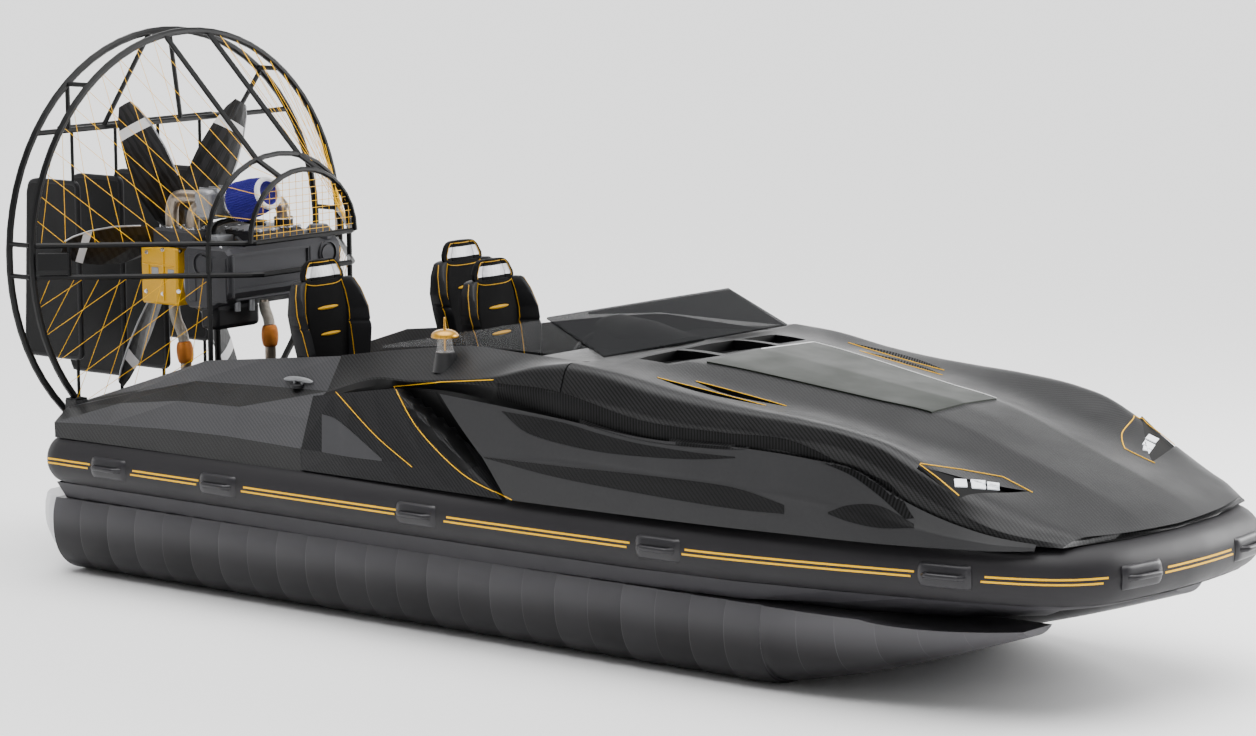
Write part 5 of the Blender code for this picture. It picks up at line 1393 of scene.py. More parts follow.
@dataclass
class GuardNet:
    """Yellow wires laced across the cage, a square grid in its nose.

    Attributes:
        ring_radius: radius of the cage ring's centre line.
        ring_z: height of its middle.
        rail_z: height of the upper rail.
        low_rail_z: height of the lower rail.
        post: station and half-breadth of the cage's post.
        arch_z: height of the arch over the posts.
        nose: station, half-breadth and top of the nose arch.
        wire: radius of a wire.
    """

    ring_radius: float = 1.30
    ring_z: float = 1.90
    rail_z: float = 2.00
    low_rail_z: float = 1.81
    post: tuple = (0.77, 0.60)
    arch_z: float = 2.49
    nose: tuple = (0.970, 0.445, 2.405)
    wire: float = 0.0017

    def on_ring(self, height: np.ndarray) -> np.ndarray:
        """Points of the ring's starboard half at given heights: y = -sqrt(r^2 - (z - z0)^2)."""
        height = np.asarray(height, float)
        half = np.sqrt(np.maximum(self.ring_radius ** 2 - (height - self.ring_z) ** 2, 0.0))
        return np.stack([0.0 * height, -half, height], axis=-1)

    def on_edge(self, place: np.ndarray) -> np.ndarray:
        """Points along the upper rail (0 to 1), then up the arch to its top (1 to 2)."""
        place = np.asarray(place, float)
        start = self.on_ring(np.array([self.rail_z]))[0]
        end = np.array([self.post[0], -self.post[1], self.rail_z])
        rail = start + np.clip(place, 0.0, 1.0)[:, None] * (end - start)
        turn = np.clip(place - 1.0, 0.0, 1.0) * np.pi / 2
        arch = np.stack([np.full_like(turn, self.post[0]), -self.post[1] * np.cos(turn),
                         self.rail_z + (self.arch_z - self.rail_z) * np.sin(turn)], axis=-1)
        return np.where(place[:, None] <= 1.0, rail, arch)

    def side_net(self) -> Shape:
        """Two families of straight wires from the ring to the rail and the arch."""
        height = np.array([2.16, 2.30, 2.43, 2.56, 2.69, 2.80, 2.90, 2.99, 3.07, 3.13, 3.17])
        steep = np.array([-9, -9, -9, 0.05, 0.19, 0.36, 0.52, 0.68, 0.84, 0.97, 1.12])
        flat = np.array([0.20, 0.40, 0.60, 0.80, 0.97, 1.13, 1.28, 1.42, 1.56, 1.68, 1.78])
        ring = self.on_ring(height)
        kept = steep > 0.0
        starts = np.vstack([ring[kept], ring])
        ends = np.vstack([self.on_edge(steep[kept]), self.on_edge(flat)])
        return rods(starts, ends, self.wire)

    def low_net(self) -> Shape:
        """Wires below the lower rail: crossed diagonals from the ring and deck to the rail."""
        start = self.on_ring(np.array([self.low_rail_z]))[0]
        end = np.array([self.post[0], -self.post[1], self.low_rail_z])
        foot = np.array([self.post[0], -self.post[1], 0.97])
        base = self.on_ring(np.array([1.06]))[0]
        rail = lambda share: start + np.asarray(share)[:, None] * (end - start)
        deck = lambda share: base + np.asarray(share)[:, None] * (foot - base)
        post = lambda share: foot + np.asarray(share)[:, None] * (end - foot)
        ring = self.on_ring(np.array([1.62, 1.45, 1.28, 1.14]))
        starts = np.vstack([ring, deck([0.10, 0.35, 0.60]), ring[:3], deck([0.02, 0.2, 0.4, 0.6, 0.8])])
        ends = np.vstack([rail([0.30, 0.55, 0.80]), post([0.97, 0.72, 0.48, 0.24]),
                          rail([0.10, 0.24, 0.38]), rail([0.50, 0.62, 0.74, 0.86, 0.97])])
        return rods(starts, ends, self.wire)

    def nose_net(self) -> Shape:
        """Square grid in the nose arch and a few wires between the two arches."""
        x, half, top = self.nose
        across = np.arange(-7, 8) * 0.056
        rise = (top - self.rail_z) * np.sqrt(np.maximum(1 - (across / half) ** 2, 0.0))
        low = np.column_stack([np.full_like(across, x), across, np.full_like(across, self.rail_z)])
        shape = rods(low, low + rise[:, None] * (0.0, 0.0, 1.0), self.wire)
        height = self.rail_z + 0.042 * np.arange(1, 9)
        reach = half * np.sqrt(1 - ((height - self.rail_z) / (top - self.rail_z)) ** 2)
        left = np.column_stack([np.full_like(height, x + 0.004), -reach, height])
        shape += rods(left, left * (1.0, -1.0, 1.0), self.wire)
        turn = np.radians([20.0, 42.0, 64.0])
        aft = np.stack([np.full(3, self.post[0]), -self.post[1] * np.cos(turn),
                        self.rail_z + (self.arch_z - self.rail_z) * np.sin(turn)], axis=-1)
        fore = np.stack([np.full(3, x), -half * np.cos(turn),
                         self.rail_z + (top - self.rail_z) * np.sin(turn)], axis=-1)
        bridge = rods(aft, fore, self.wire)
        return shape + bridge + bridge.across()

    def build(self) -> None:
        """Makes the nets of both sides and of the nose."""
        for side in Side:
            add_piece(f"guard_wires_{side.label}", (self.side_net() + self.low_net()).on(side),
                      GUARD_WIRE)
        add_piece("guard_grid_nose", self.nose_net(), GUARD_WIRE)


def puffed(shape: Shape, cap: float = 0.012, voxel: float = 0.006, frames: int = 20) -> Shape:
    """A pad blown up as cloth under pressure, no point moved by more than a cap.

    The skin is remeshed to even squares and solved as cloth with pressure 4 and no gravity.
    The drift of the whole pad is taken off its moves, and all of them are shortened by one
    factor, so that the longest is the cap and the others keep their share.

    Args:
        shape: the closed skin before filling.
        cap: greatest move of a point.
        voxel: edge of a remeshed square.
        frames: frames that are solved.

    Returns:
        The filled skin.
    """
    scene = bpy.context.scene
    mesh = bpy.data.meshes.new("pad")
    mesh.from_pydata((shape.points - (MID_X, 0.0, 0.0)).tolist(), [], shape.faces)
    work = bmesh.new()
    work.from_mesh(mesh)
    bmesh.ops.recalc_face_normals(work, faces=work.faces)
    work.to_mesh(mesh)
    work.free()
    pad = bpy.data.objects.new("pad", mesh)
    scene.collection.objects.link(pad)
    remesh = pad.modifiers.new("remesh", "REMESH")
    remesh.mode, remesh.voxel_size = "VOXEL", voxel
    even = bpy.data.meshes.new_from_object(
        pad.evaluated_get(bpy.context.evaluated_depsgraph_get()))
    pad.modifiers.clear()
    pad.data = even
    start = np.empty(len(even.vertices) * 3)
    even.vertices.foreach_get("co", start)
    stop = start
    cloth = pad.modifiers.new("cloth", "CLOTH")
    cloth.settings.use_pressure = True
    cloth.settings.uniform_pressure_force = 4.0
    cloth.settings.effector_weights.gravity = 0.0
    cloth.settings.quality = 5
    cloth.point_cache.frame_start, cloth.point_cache.frame_end = 1, frames
    for number in range(1, frames + 1):
        scene.frame_set(number)
    solved = pad.evaluated_get(bpy.context.evaluated_depsgraph_get()).to_mesh()
    stop = np.empty_like(start)
    solved.vertices.foreach_get("co", stop)
    scene.frame_set(1)
    move = (stop - start).reshape(-1, 3)
    move -= move.mean(axis=0)
    longest = np.linalg.norm(move, axis=1).max()
    points = start.reshape(-1, 3) + move * min(1.0, cap / max(longest, 1e-9))
    faces = [list(face.vertices) for face in even.polygons]
    bpy.data.objects.remove(pad)
    bpy.data.meshes.remove(even)
    bpy.data.meshes.remove(mesh)
    return Shape(points + (MID_X, 0.0, 0.0), faces)


@dataclass
class Seat:
    """Winged seat back with its headrest, piping and cushion.

    Attributes:
        label: name of the seat.
        top_x: station of the face at the top.
        middle_y: half-breadth of its middle.
        levels: height, half-width, wing depth and thickness, from the hip up.
        rest: the same for the headrest.
        lean: how far the face leans back.
        hip_z: height of the hip.
        top_z: height of the top.
    """

    label: str
    top_x: float
    middle_y: float
    levels: tuple = ((1.100, 0.215, 0.030, 0.120), (1.220, 0.235, 0.050, 0.120),
                     (1.400, 0.250, 0.105, 0.120), (1.560, 0.285, 0.110, 0.115),
                     (1.675, 0.300, 0.085, 0.110), (1.780, 0.275, 0.050, 0.105),
                     (1.846, 0.240, 0.024, 0.095), (1.854, 0.226, 0.012, 0.082))
    rest: tuple = ((1.846, 0.140, 0.002, 0.060), (1.852, 0.158, 0.004, 0.078),
                   (1.864, 0.168, 0.004, 0.085), (1.890, 0.166, 0.004, 0.088),
                   (1.940, 0.138, 0.004, 0.080), (1.958, 0.118, 0.003, 0.070),
                   (1.967, 0.100, 0.002, 0.054), (1.970, 0.084, 0.001, 0.036))
    lean: float = 0.10
    hip_z: float = 1.180
    top_z: float = 1.970

    def row(self, table: tuple, height: np.ndarray) -> np.ndarray:
        """Half-width, wing, thickness and face station at each height, by straight lines."""
        known = np.array(table)
        half, wing, thick = (np.interp(height, known[:, 0], known[:, k]) for k in (1, 2, 3))
        share = np.maximum((height - self.hip_z) / (self.top_z - self.hip_z), 0.0)
        return np.stack([half, wing, thick, self.top_x + self.lean * (1 - share)], axis=-1)

    def face(self, table: tuple, height: np.ndarray, across: np.ndarray) -> np.ndarray:
        """Point of the front at a height and a share of the half-width.

        The middle is crowned by 10 mm; a seam lies at 0.58; the wing rises to its full depth
        at 0.88 and falls to 0.55 of it at the edge; a seam crosses the wing at z 1.60.
        """
        half, wing, thick, front = np.moveaxis(self.row(table, height), -1, 0)
        far = np.abs(across)
        crown = 0.010 * (1 - (far / 0.58) ** 2)
        rise = np.interp(far, [0.58, 0.61, 0.88, 1.0], [-0.006, 0.10, 1.0, 0.55])
        seam = 0.008 * np.exp(-((height - 1.60) / 0.007) ** 2)
        x = front + np.where(far < 0.58, crown, np.where(far < 0.6, -0.006, wing * rise - seam))
        return np.stack([x, self.middle_y + half * across, height], axis=-1)

    def back(self, table: tuple, height: np.ndarray, across: np.ndarray) -> np.ndarray:
        """Point of the rear: face less thickness (1 - 0.75 |u|^3)."""
        half, wing, thick, front = np.moveaxis(self.row(table, height), -1, 0)
        x = front - thick * (1 - 0.75 * np.abs(across) ** 3)
        return np.stack([x, self.middle_y + half * across * 0.985, height], axis=-1)

    def shell(self, table: tuple, rows: int) -> tuple[Shape, np.ndarray]:
        """Closed skin of front and rear, and the share across of each face's middle.

        Args:
            table: levels of the part.
            rows: sections in its height.

        Returns:
            The shape, and for each face its share across, 2 for the rear.
        """
        height = np.linspace(table[0][0], table[-1][0], rows)[:, None]
        front = np.concatenate([np.linspace(-1, -0.6, 10), [-0.58], np.linspace(-0.56, 0.56, 17),
                                [0.58], np.linspace(0.6, 1, 10)])
        rear = np.linspace(0.96, -0.96, 15)
        first = self.face(table, height + 0 * front, front + 0 * height)
        second = self.back(table, height + 0 * rear, rear + 0 * height)
        shape = grid(np.concatenate([first, second], axis=1), around=True, caps=True)
        marks = np.concatenate([np.abs(front), np.full(len(rear), 2.0)])
        middles = np.maximum(marks, np.roll(marks, -1))
        zone = np.concatenate([np.tile(middles, rows - 1), [2.0, 2.0]])
        return shape, zone

    def cords(self) -> Shape:
        """Piping along the wings' edges and seams, as cords laid on the face."""
        upper, lower = np.linspace(1.602, 1.846, 24), np.linspace(1.12, 1.596, 30)
        lift = np.array([0.002, 0.0, 0.0])
        shapes = []
        for hand in (-1.0, 1.0):
            runs = ((upper, 0.60 + 0 * upper), (upper, 0.985 + 0 * upper),
                    (lower, np.linspace(0.72, 0.60, 30)),
                    (lower[18:], 0.985 + 0 * lower[18:]))
            if hand < 0:
                runs += ((lower, np.linspace(0.84, 0.66, 30)),)
            for height, share in runs:
                path = self.face(self.levels, height, hand * share) + lift
                shapes.append(tube(path, 0.0024, 6))
        across = np.linspace(-0.60, 0.60, 20)
        level = 1.826 + 0.016 * np.abs(across / 0.6) ** 4
        shapes.append(tube(self.face(self.levels, level, across) + lift, 0.0024, 6))
        edge = np.linspace(1.866, 1.958, 16)
        for hand in (-1.0, 1.0):
            shapes.append(tube(self.face(self.rest, edge, hand * 0.86 + 0 * edge) + lift, 0.0024, 6))
        across = np.linspace(-0.86, 0.86, 20)
        shapes.append(tube(self.face(self.rest, 1.958 + 0 * across, across) + lift, 0.0024, 6))
        return joined(shapes)

    def bars(self) -> Shape:
        """Two stitched bars across the middle, thick in their middle and slim at their ends."""
        across = np.linspace(-0.26, 0.30, 18)
        swell = 0.010 * np.sqrt(1 - np.linspace(-0.98, 0.98, 18) ** 2) + 0.001
        shapes = [tube(self.face(self.levels, level + 0.008 * across, across) + (0.001, 0, 0),
                       swell, 8) for level in (1.695, 1.545)]
        return joined(shapes)

    def cushion(self) -> Shape:
        """Crowned pad: a superellipsoid in plan whose top bulges and whose sides pull in."""
        middle = np.array([self.top_x + self.lean + 0.285, self.middle_y, 1.142])
        u, v = np.meshgrid(np.linspace(0, 2 * np.pi, 72, endpoint=False),
                           np.linspace(-np.pi / 2 + 0.02, np.pi / 2 - 0.02, 24), indexing="ij")
        power = lambda value, n: np.sign(value) * np.abs(value) ** n
        ring = power(np.cos(v), 0.45)
        x = 0.200 * ring * power(np.cos(u), 0.35)
        y = 0.209 * ring * power(np.sin(u), 0.35)
        z = 0.046 * power(np.sin(v), 0.8)
        z += 0.012 * np.maximum(np.sin(v), 0.0) * (np.abs(y) > 0.13) * np.minimum(
            (np.abs(y) - 0.13) / 0.03, 1.0)
        return grid(np.moveaxis(middle + np.stack([x, y, z], axis=-1), 0, 1), around=True, caps=True)

    def build(self) -> None:
        """Makes the back, the headrest, the cushion and their trim."""
        solid = f"seat_{self.label}"
        shape, zone = self.shell(self.levels, 90)
        zones = np.where(zone <= 0.58, 1, 0)
        back = add_piece(f"{solid}_wings", shape, (BOLSTER_HIDE, CENTRE_HIDE), zones=zones,
                         stands_for=(f"{solid}_back",), sharp_deg=50.0)
        shape, zone = self.shell(self.rest, 40)
        middle_z = np.array([shape.points[face, 2].mean() for face in shape.faces])
        band = (zone < 0.90) & (middle_z > 1.876) & (middle_z < 1.934)
        rest = add_piece(f"{solid}_headrest", shape, (CENTRE_HIDE, BAND_HIDE),
                         zones=np.where(band, 1, 0), sharp_deg=50.0)
        pad = add_piece(f"{solid}_pad", puffed(self.cushion(), 0.010), BOLSTER_HIDE,
                        stands_for=(f"{solid}_cushion",), soften=1, sharp_deg=75.0)
        add_piece(f"{solid}_piping", self.cords(), PIPING)
        add_piece(f"{solid}_bars", self.bars(), PIPING)


@dataclass
class Lamps:
    """Headlights and the beacon.

    Attributes:
        beacon_foot: station point under the beacon.
    """

    beacon_foot: tuple = (2.985, -0.945, 1.578)

    def headlights(self, shape: Shape) -> None:
        """Diode blocks in the recesses and yellow lines on their upper and rear edges."""
        near = Surface(("headlight_starboard",), shape)
        deck = Surface(("headlight_starboard",), BowDeck().skin())
        blocks = [((954, 479.5), (966, 480), (955, 487), (967, 487.5)),
                  ((970.5, 480), (985, 481.5), (972, 488.5), (985.5, 489.5)),
                  ((987, 482.5), (999, 484), (987.5, 489.5), (999.5, 490.5))]
        lenses = joined(near.patch(block[:2], block[2:], 8, 6, 0.006) for block in blocks)
        add_piece("headlight_diodes", lenses + lenses.across(), LAMP_DIODE)
        trim = joined([
            deck.line([(920, 463.6), (962, 469.6), (1003, 477.0), (1032.5, 492.5)], 0.006, 0.003,
                      curved=False),
            deck.line([(919.5, 464.5), (938, 478), (959, 495.5)], 0.006, 0.003, curved=False),
        ])
        add_piece("headlight_edge_lines", trim + trim.across(), STRIPE_VINYL)

    def beacon(self) -> None:
        """Clear foot, golden mushroom cap and its pin."""
        foot, up = np.array(self.beacon_foot), (0.0, 0.0, 1.0)
        add_piece("beacon_foot", turned([(0.001, 0.049), (0.006, 0.052), (0.012, 0.046),
                                         (0.070, 0.041), (0.079, 0.041)], foot, up, 40),
                  BEACON_CLEAR)
        angle = np.linspace(0.0, np.pi / 2, 14)
        cap = np.column_stack([0.086 + 0.040 * np.sin(angle), 0.010 + 0.068 * np.cos(angle)])
        profile = np.vstack([[(0.079, 0.020), (0.079, 0.070), (0.082, 0.077)], cap,
                             [(0.132, 0.008), (0.190, 0.006), (0.193, 0.003)]])
        add_piece("beacon_cap", turned(profile, foot, up, 40), BEACON_LACQUER,
                  stands_for=("beacon",))
        add_piece("beacon_stem", turned([(0.004, 0.006), (0.080, 0.006)], foot, up, 16),
                  BEACON_LACQUER)

    def build(self, shape: Shape) -> None:
        """Makes the headlights' diodes and trim and the beacon; the headlights sit in the bow deck's openings.
        """
        self.headlights(shape)
        self.beacon()


@dataclass
class CockpitSides:
    """Walls beside the cockpit: a coaming that falls outward to a shoulder, and a wall painted black for the
    shade under the lip.

    Attributes:
        rows: station, then half-breadth and height of the inner edge, the shoulder, the lip
            over the groove and the wall's top.
        foot_z: height of the underside.
        soft: shares of wall and coaming that the rounded shoulder takes at the bow end.
    """

    rows: tuple = ((2.106, 0.860, 1.475, 0.980, 1.290, 1.000, 1.276, 1.060, 1.240),
                   (2.50, 0.850, 1.535, 1.005, 1.400, 1.010, 1.388, 1.0285, 1.350),
                   (2.80, 0.842, 1.575, 1.040, 1.415, 1.041, 1.405, 1.0048, 1.365),
                   (3.05, 0.835, 1.605, 1.055, 1.440, 1.058, 1.426, 1.000, 1.370),
                   (3.45, 0.820, 1.595, 1.050, 1.490, 1.064, 1.437, 1.030, 1.348),
                   (3.70, 0.812, 1.588, 1.040, 1.560, 1.072, 1.443, 1.055, 1.334),
                   (3.94, 0.805, 1.580, 1.020, 1.608, 1.080, 1.450, 1.078, 1.319))
    foot_z: float = 0.876
    soft: tuple = (0.42, 0.28)

    def build(self) -> Shape:
        """Makes both sides; the faces below the lip are painted black for the shade there.

        Returns:
            The starboard one, on which trim is laid.
        """
        station = np.linspace(self.rows[0][0], self.rows[-1][0], 70)
        row = cubic_rows(self.rows, station)
        inner, shoulder = row[:, None, 0:2], row[:, None, 2:4]
        lip, wall = row[:, None, 4:6], row[:, None, 6:8]
        ease = np.clip((station - 2.9) / 1.04, 0.0, 1.0)[:, None, None]
        before = 0.03 + (self.soft[0] - 0.03) * ease ** 2
        after = 0.03 + (self.soft[1] - 0.03) * ease ** 2
        t = np.linspace(0.0, 1.0, 9)[None, :, None]
        start, stop = shoulder + before * (lip - shoulder), shoulder + after * (inner - shoulder)
        bend = (1 - t) ** 2 * start + 2 * t * (1 - t) * shoulder + t ** 2 * stop
        steps = np.linspace(0.0, 1.0, 6)[None, 1:, None]
        coaming = stop * (1 - steps) + inner * steps
        foot = np.full((len(station), 1, 1), self.foot_z)
        outer_foot = np.concatenate([wall[..., :1], foot], axis=-1)
        inner_foot = np.concatenate([inner[..., :1], foot], axis=-1)
        profile = np.concatenate([inner_foot, outer_foot, wall, lip, bend, coaming], axis=1)
        place = np.broadcast_to(station[:, None], profile.shape[:2])
        shape = grid(np.stack([place, -profile[..., 0], profile[..., 1]], axis=-1), around=True,
                     caps=True)
        # painted shade: the outer wall and the lip's underside take the black of the shaded groove
        zones = np.zeros(len(shape.faces), np.int32)
        columns = np.tile(np.arange(profile.shape[1]), len(station) - 1)
        zones[:len(columns)] = np.isin(columns, (1, 2))
        for side in Side:
            add_piece(f"cockpit_side_skin_{side.label}", shape.on(side), (DECK_FIBRE, RECESS_SHADE),
                      zones=zones, stands_for=(f"cockpit_side_{side.label}",), sharp_deg=22.0)
        boss = turned([(-0.110, 0.075), (-0.020, 0.058), (-0.004, 0.056), (0.0, 0.052)],
                      Lamps.beacon_foot, (0.0, 0.0, 1.0), 40)
        add_piece("beacon_boss", boss, BOSS_LACQUER)
        return shape


@dataclass
class SideSkins:
    """Bulged skins from the deck edge to the groove under the fender ridge.

    Attributes:
        rows: station, then half-breadth and height of edge, bulge and top.
        intake: stations of the slanted rear edge at the foot, the bulge and the top.
    """

    rows: tuple = ((3.08, 1.250, 0.862, 1.215, 1.050, 1.100, 1.370),
                   (3.95, 1.250, 0.866, 1.225, 1.100, 1.119, 1.319),
                   (4.60, 1.235, 0.868, 1.210, 1.090, 1.120, 1.268),
                   (5.20, 1.230, 0.876, 1.200, 1.085, 1.115, 1.280),
                   (5.70, 1.208, 0.883, 1.182, 1.070, 1.108, 1.262),
                   (5.95, 1.195, 0.886, 1.168, 1.040, 1.098, 1.235),
                   (6.20, 1.172, 0.890, 1.146, 1.000, 1.080, 1.120),
                   (6.55, 1.110, 0.898, 1.090, 0.950, 1.050, 1.010),
                   (6.80, 1.040, 0.904, 1.025, 0.930, 1.000, 0.960),
                   (6.95, 0.950, 0.908, 0.942, 0.922, 0.930, 0.938))
    intake: tuple = (3.70, 3.50, 3.08)

    def skin(self) -> Shape:
        """Starboard skin: flanks below and above a soft crease at the bulge.

        A column's station runs from the slanted rear edge to the bow; the rear edge is the
        parabola through the three given stations.
        """
        level = np.concatenate([np.linspace(0.0, 0.84, 8), np.linspace(0.88, 1.16, 9),
                                np.linspace(1.22, 2.0, 8)])
        rear = np.interp(level, (0.0, 1.0, 2.0), self.intake)
        share = np.linspace(0.0, 1.0, 110)[:, None] ** 1.1
        station = rear + (self.rows[-1][0] - rear) * share
        row = cubic_rows(self.rows, station.ravel()).reshape(*station.shape, 6)
        edge, bulge, top = row[..., 0:2], row[..., 2:4], row[..., 4:6]
        part = level[None, :, None]
        low, high = edge + (bulge - edge) * part, bulge + (top - bulge) * (part - 1)
        ease = np.clip((part - 0.84) / 0.36, 0.0, 1.0)
        ease = ease ** 2 * (3 - 2 * ease)
        blend = low * (1 - ease) + high * ease
        rows = np.stack([station, -blend[..., 0], blend[..., 1]], axis=-1)
        normals = unit(np.cross(np.gradient(rows, axis=0), np.gradient(rows, axis=1)))
        normals = normals * -np.sign(normals[..., 1:2])
        return sheet_over(rows - normals * 0.004, normals, 0.004)

    def build(self) -> Shape:
        """Makes both skins.

        Returns:
            The starboard one, on which the painted reflections and other trim are laid.
        """
        shape = self.skin()
        for side in Side:
            add_piece(f"side_skin_{side.label}", shape.on(side), FLANK_LACQUER,
                      stands_for=(f"side_panel_{side.label}",), sharp_deg=30.0)
        return shape


@dataclass
class BowDeck:
    """Moulded bow deck: two soft fender ridges, valleys and a raised hood, with its openings.

    Attributes:
        rows: station, then half-breadth and height of edge, groove, ridge, valley and
            hood-panel edge, and the height of the middle.
        root_z: height of the underside.
        bend: how far the middle runs ahead of the sides at the last station.
        bend_from: station where that starts.
        bend_breadth: half-breadth where it ends.
        slots: rear and fore tip of each hood slot.
        slot_half: greatest half-width of a slot.
        slot_depth: depth of a slot.
        recesses: half-breadths of the recesses behind the hood.
        recess_x: their stations.
        lamp: corners of a headlight's opening.
        panel_x: stations of the hood panel's rear and fore edges.
    """

    rows: tuple = BOW_ROWS
    root_z: float = 0.916
    bend: float = 0.134
    bend_from: float = 6.5
    bend_breadth: float = 0.845
    slots: tuple = (((4.60, 0.728, 1.520), (5.19, 0.700, 1.437)),
                    ((4.43, 0.845, 1.545), (5.13, 0.800, 1.452)))
    slot_half: float = 0.036
    slot_depth: float = 0.055
    recesses: tuple = ((-0.60, -0.27), (-0.22, 0.22), (0.27, 0.60))
    recess_x: tuple = (4.10, 4.42)
    lamp: tuple = ((6.300, 1.020, 1.305), (6.645, 0.560, 1.114), (6.533, 1.000, 1.149))
    panel_x: tuple = (4.47, 5.84)

    def profile(self, station: np.ndarray) -> np.ndarray:
        """Upper profile from the edge to the middle: straight flanks, corners rounded by
        parabolas that start and end at set shares of the flanks beside them.

        Args:
            station: stations of the sections.

        Returns:
            Array (sections, points, 2) of half-breadth and height.
        """
        row = cubic_rows(self.rows, station)
        keys = np.stack([row[:, 0:2], row[:, 2:4] + (0.0005, 0.0), row[:, 4:6], row[:, 6:8],
                         row[:, 8:10], np.stack([0 * station, row[:, 10]], axis=1)], axis=1)
        parts = [keys[:, :1]]
        for corner, before, after, count in ((1, 0.04, 0.05, 3), (2, 0.42, 0.28, 13),
                                             (3, 0.45, 0.50, 13), (4, 0.08, 0.10, 5)):
            middle = keys[:, corner:corner + 1]
            start = middle + before * (keys[:, corner - 1:corner] - middle)
            stop = middle + after * (keys[:, corner + 1:corner + 2] - middle)
            t = np.linspace(0.0, 1.0, count)[None, :, None]
            parts.append((1 - t) ** 2 * start + 2 * t * (1 - t) * middle + t ** 2 * stop)
            if corner < 4:
                ahead = keys[:, corner + 1:corner + 2]
                following = (0.42, 0.45, 0.08)[corner - 1]
                aim = ahead + following * (middle - ahead)
                steps = np.linspace(0.0, 1.0, 5)[None, 1:-1, None]
                parts.append(stop * (1 - steps) + aim * steps)
        last = parts[-1][:, -1:]
        steps = np.linspace(0.0, 1.0, 6)[None, 1:, None]
        parts.append(last * (1 - steps) + keys[:, 5:6] * steps)
        return np.concatenate(parts, axis=1)

    def bowed(self, points: np.ndarray) -> np.ndarray:
        """Moves points ahead towards the middle: bend share^1.5 (1 - (y / breadth)^2)."""
        end = self.rows[-1][0]
        share = np.maximum(points[..., 0] - self.bend_from, 0.0) / (end - self.bend_from)
        ahead = self.bend * share ** 1.5 * np.maximum(
            1 - (points[..., 1] / self.bend_breadth) ** 2, 0.0)
        return points + np.stack([ahead, 0 * ahead, 0 * ahead], axis=-1)

    def skin(self) -> Shape:
        """The whole deck, closed underneath, before anything is cut."""
        station = np.linspace(self.rows[0][0], self.rows[-1][0], 150)
        upper = self.profile(station)
        edge = upper[:, :1, 0]
        foot = np.stack([np.concatenate([0 * edge, edge * 0.5], axis=1),
                         np.full((len(station), 2), self.root_z)], axis=-1)
        half = np.concatenate([foot, upper], axis=1)
        place = np.broadcast_to(station[:, None], half.shape[:2])
        right = np.stack([place, -half[..., 0], half[..., 1]], axis=-1)
        left = (right * (1.0, -1.0, 1.0))[:, -2:0:-1]
        return grid(self.bowed(np.concatenate([right, left], axis=1)), around=True, caps=True)

    def height(self, station: np.ndarray, breadth: np.ndarray) -> np.ndarray:
        """Height of the deck at places inside its ridges."""
        profile = self.profile(station)
        return np.array([np.interp(y, row[::-1, 0][:-4], row[::-1, 1][:-4])
                         for y, row in zip(np.abs(breadth), profile)])

    def slot_edges(self, tips: tuple, count: int = 24) -> tuple[np.ndarray, np.ndarray]:
        """Inner and outer edge of a starboard slot, pointed at both tips.

        The half-width is sin(pi s) times the greatest; the inner edge lies 0.2 of it inwards,
        the outer one 1.8 of it outwards.
        """
        share = np.linspace(0.0, 1.0, count)[:, None]
        middle = np.array(tips[0]) * (1 - share) + np.array(tips[1]) * share
        half = self.slot_half * np.sin(np.pi * np.clip(share, 0.02, 0.98)) + 0.001
        inner = (middle - half * (0.0, 0.2, 0.0)) * (1.0, -1.0, 1.0)
        outer = (middle + half * (0.0, 1.8, 0.0)) * (1.0, -1.0, 1.0)
        return inner, outer

    def cutters(self) -> Shape:
        """Prisms of the slots, the lamps and the recesses."""
        parts = []
        for tips in self.slots:
            inner, outer = self.slot_edges(tips)
            outline = np.vstack([inner, outer[::-1]])
            slot = prism(outline, np.array([0.0, 0.0, -self.slot_depth]), np.array([0.0, 0.0, 0.15]))
            parts += [slot, slot.across()]
        corners = np.array(self.lamp)
        normal = unit(np.cross(corners[1] - corners[0], corners[2] - corners[0]))
        normal = normal * np.sign(normal[2])
        wedge = prism(corners, normal * -0.09, normal * 0.12)
        parts += [wedge, wedge.across()]
        aft, fore = self.recess_x
        side = np.array([(aft, 0.0, 1.550), (aft + 0.04, 0.0, 1.550), (fore, 0.0, 1.601),
                         (fore, 0.0, 1.75), (aft, 0.0, 1.75)])
        parts += [prism(side, np.array([0.0, low, 0.0]), np.array([0.0, high, 0.0]))
                  for low, high in self.recesses]
        return joined(parts)

    def slot_trim(self) -> None:
        """Yellow lines on the slots' inner edges and the ribbed flap between two slots."""
        lines, flaps = [], []
        for tips in self.slots:
            inner, outer = self.slot_edges(tips, 40)
            edge = inner + (0.0, 0.004, 0.0)
            edge[:, 2] = self.height(edge[:, 0], edge[:, 1])
            lines.append(strip(edge, np.tile((0.0, 0.0, 1.0), (40, 1)), 0.006, 0.0025))
            share = np.linspace(0.0, 1.0, 7)[:, None, None]
            low = outer.copy()
            low[:, 2] = self.height(low[:, 0], low[:, 1]) - 0.002
            deep = inner * 0.5 + outer * 0.5
            deep[:, 2] = self.height(deep[:, 0], deep[:, 1]) - 0.050
            flap = low[None] * (1 - share) + deep[None] * share
            flaps.append(sheet_over(flap[:, 3:-3], np.broadcast_to((0.0, 0.3, 0.95),
                                                                   flap[:, 3:-3].shape), 0.0015))
        lines, flaps = joined(lines), joined(flaps)
        add_piece("hood_slot_lines", lines + lines.across(), STRIPE_VINYL)
        add_piece("hood_slot_flaps", flaps + flaps.across(), FLAP_RIBS)

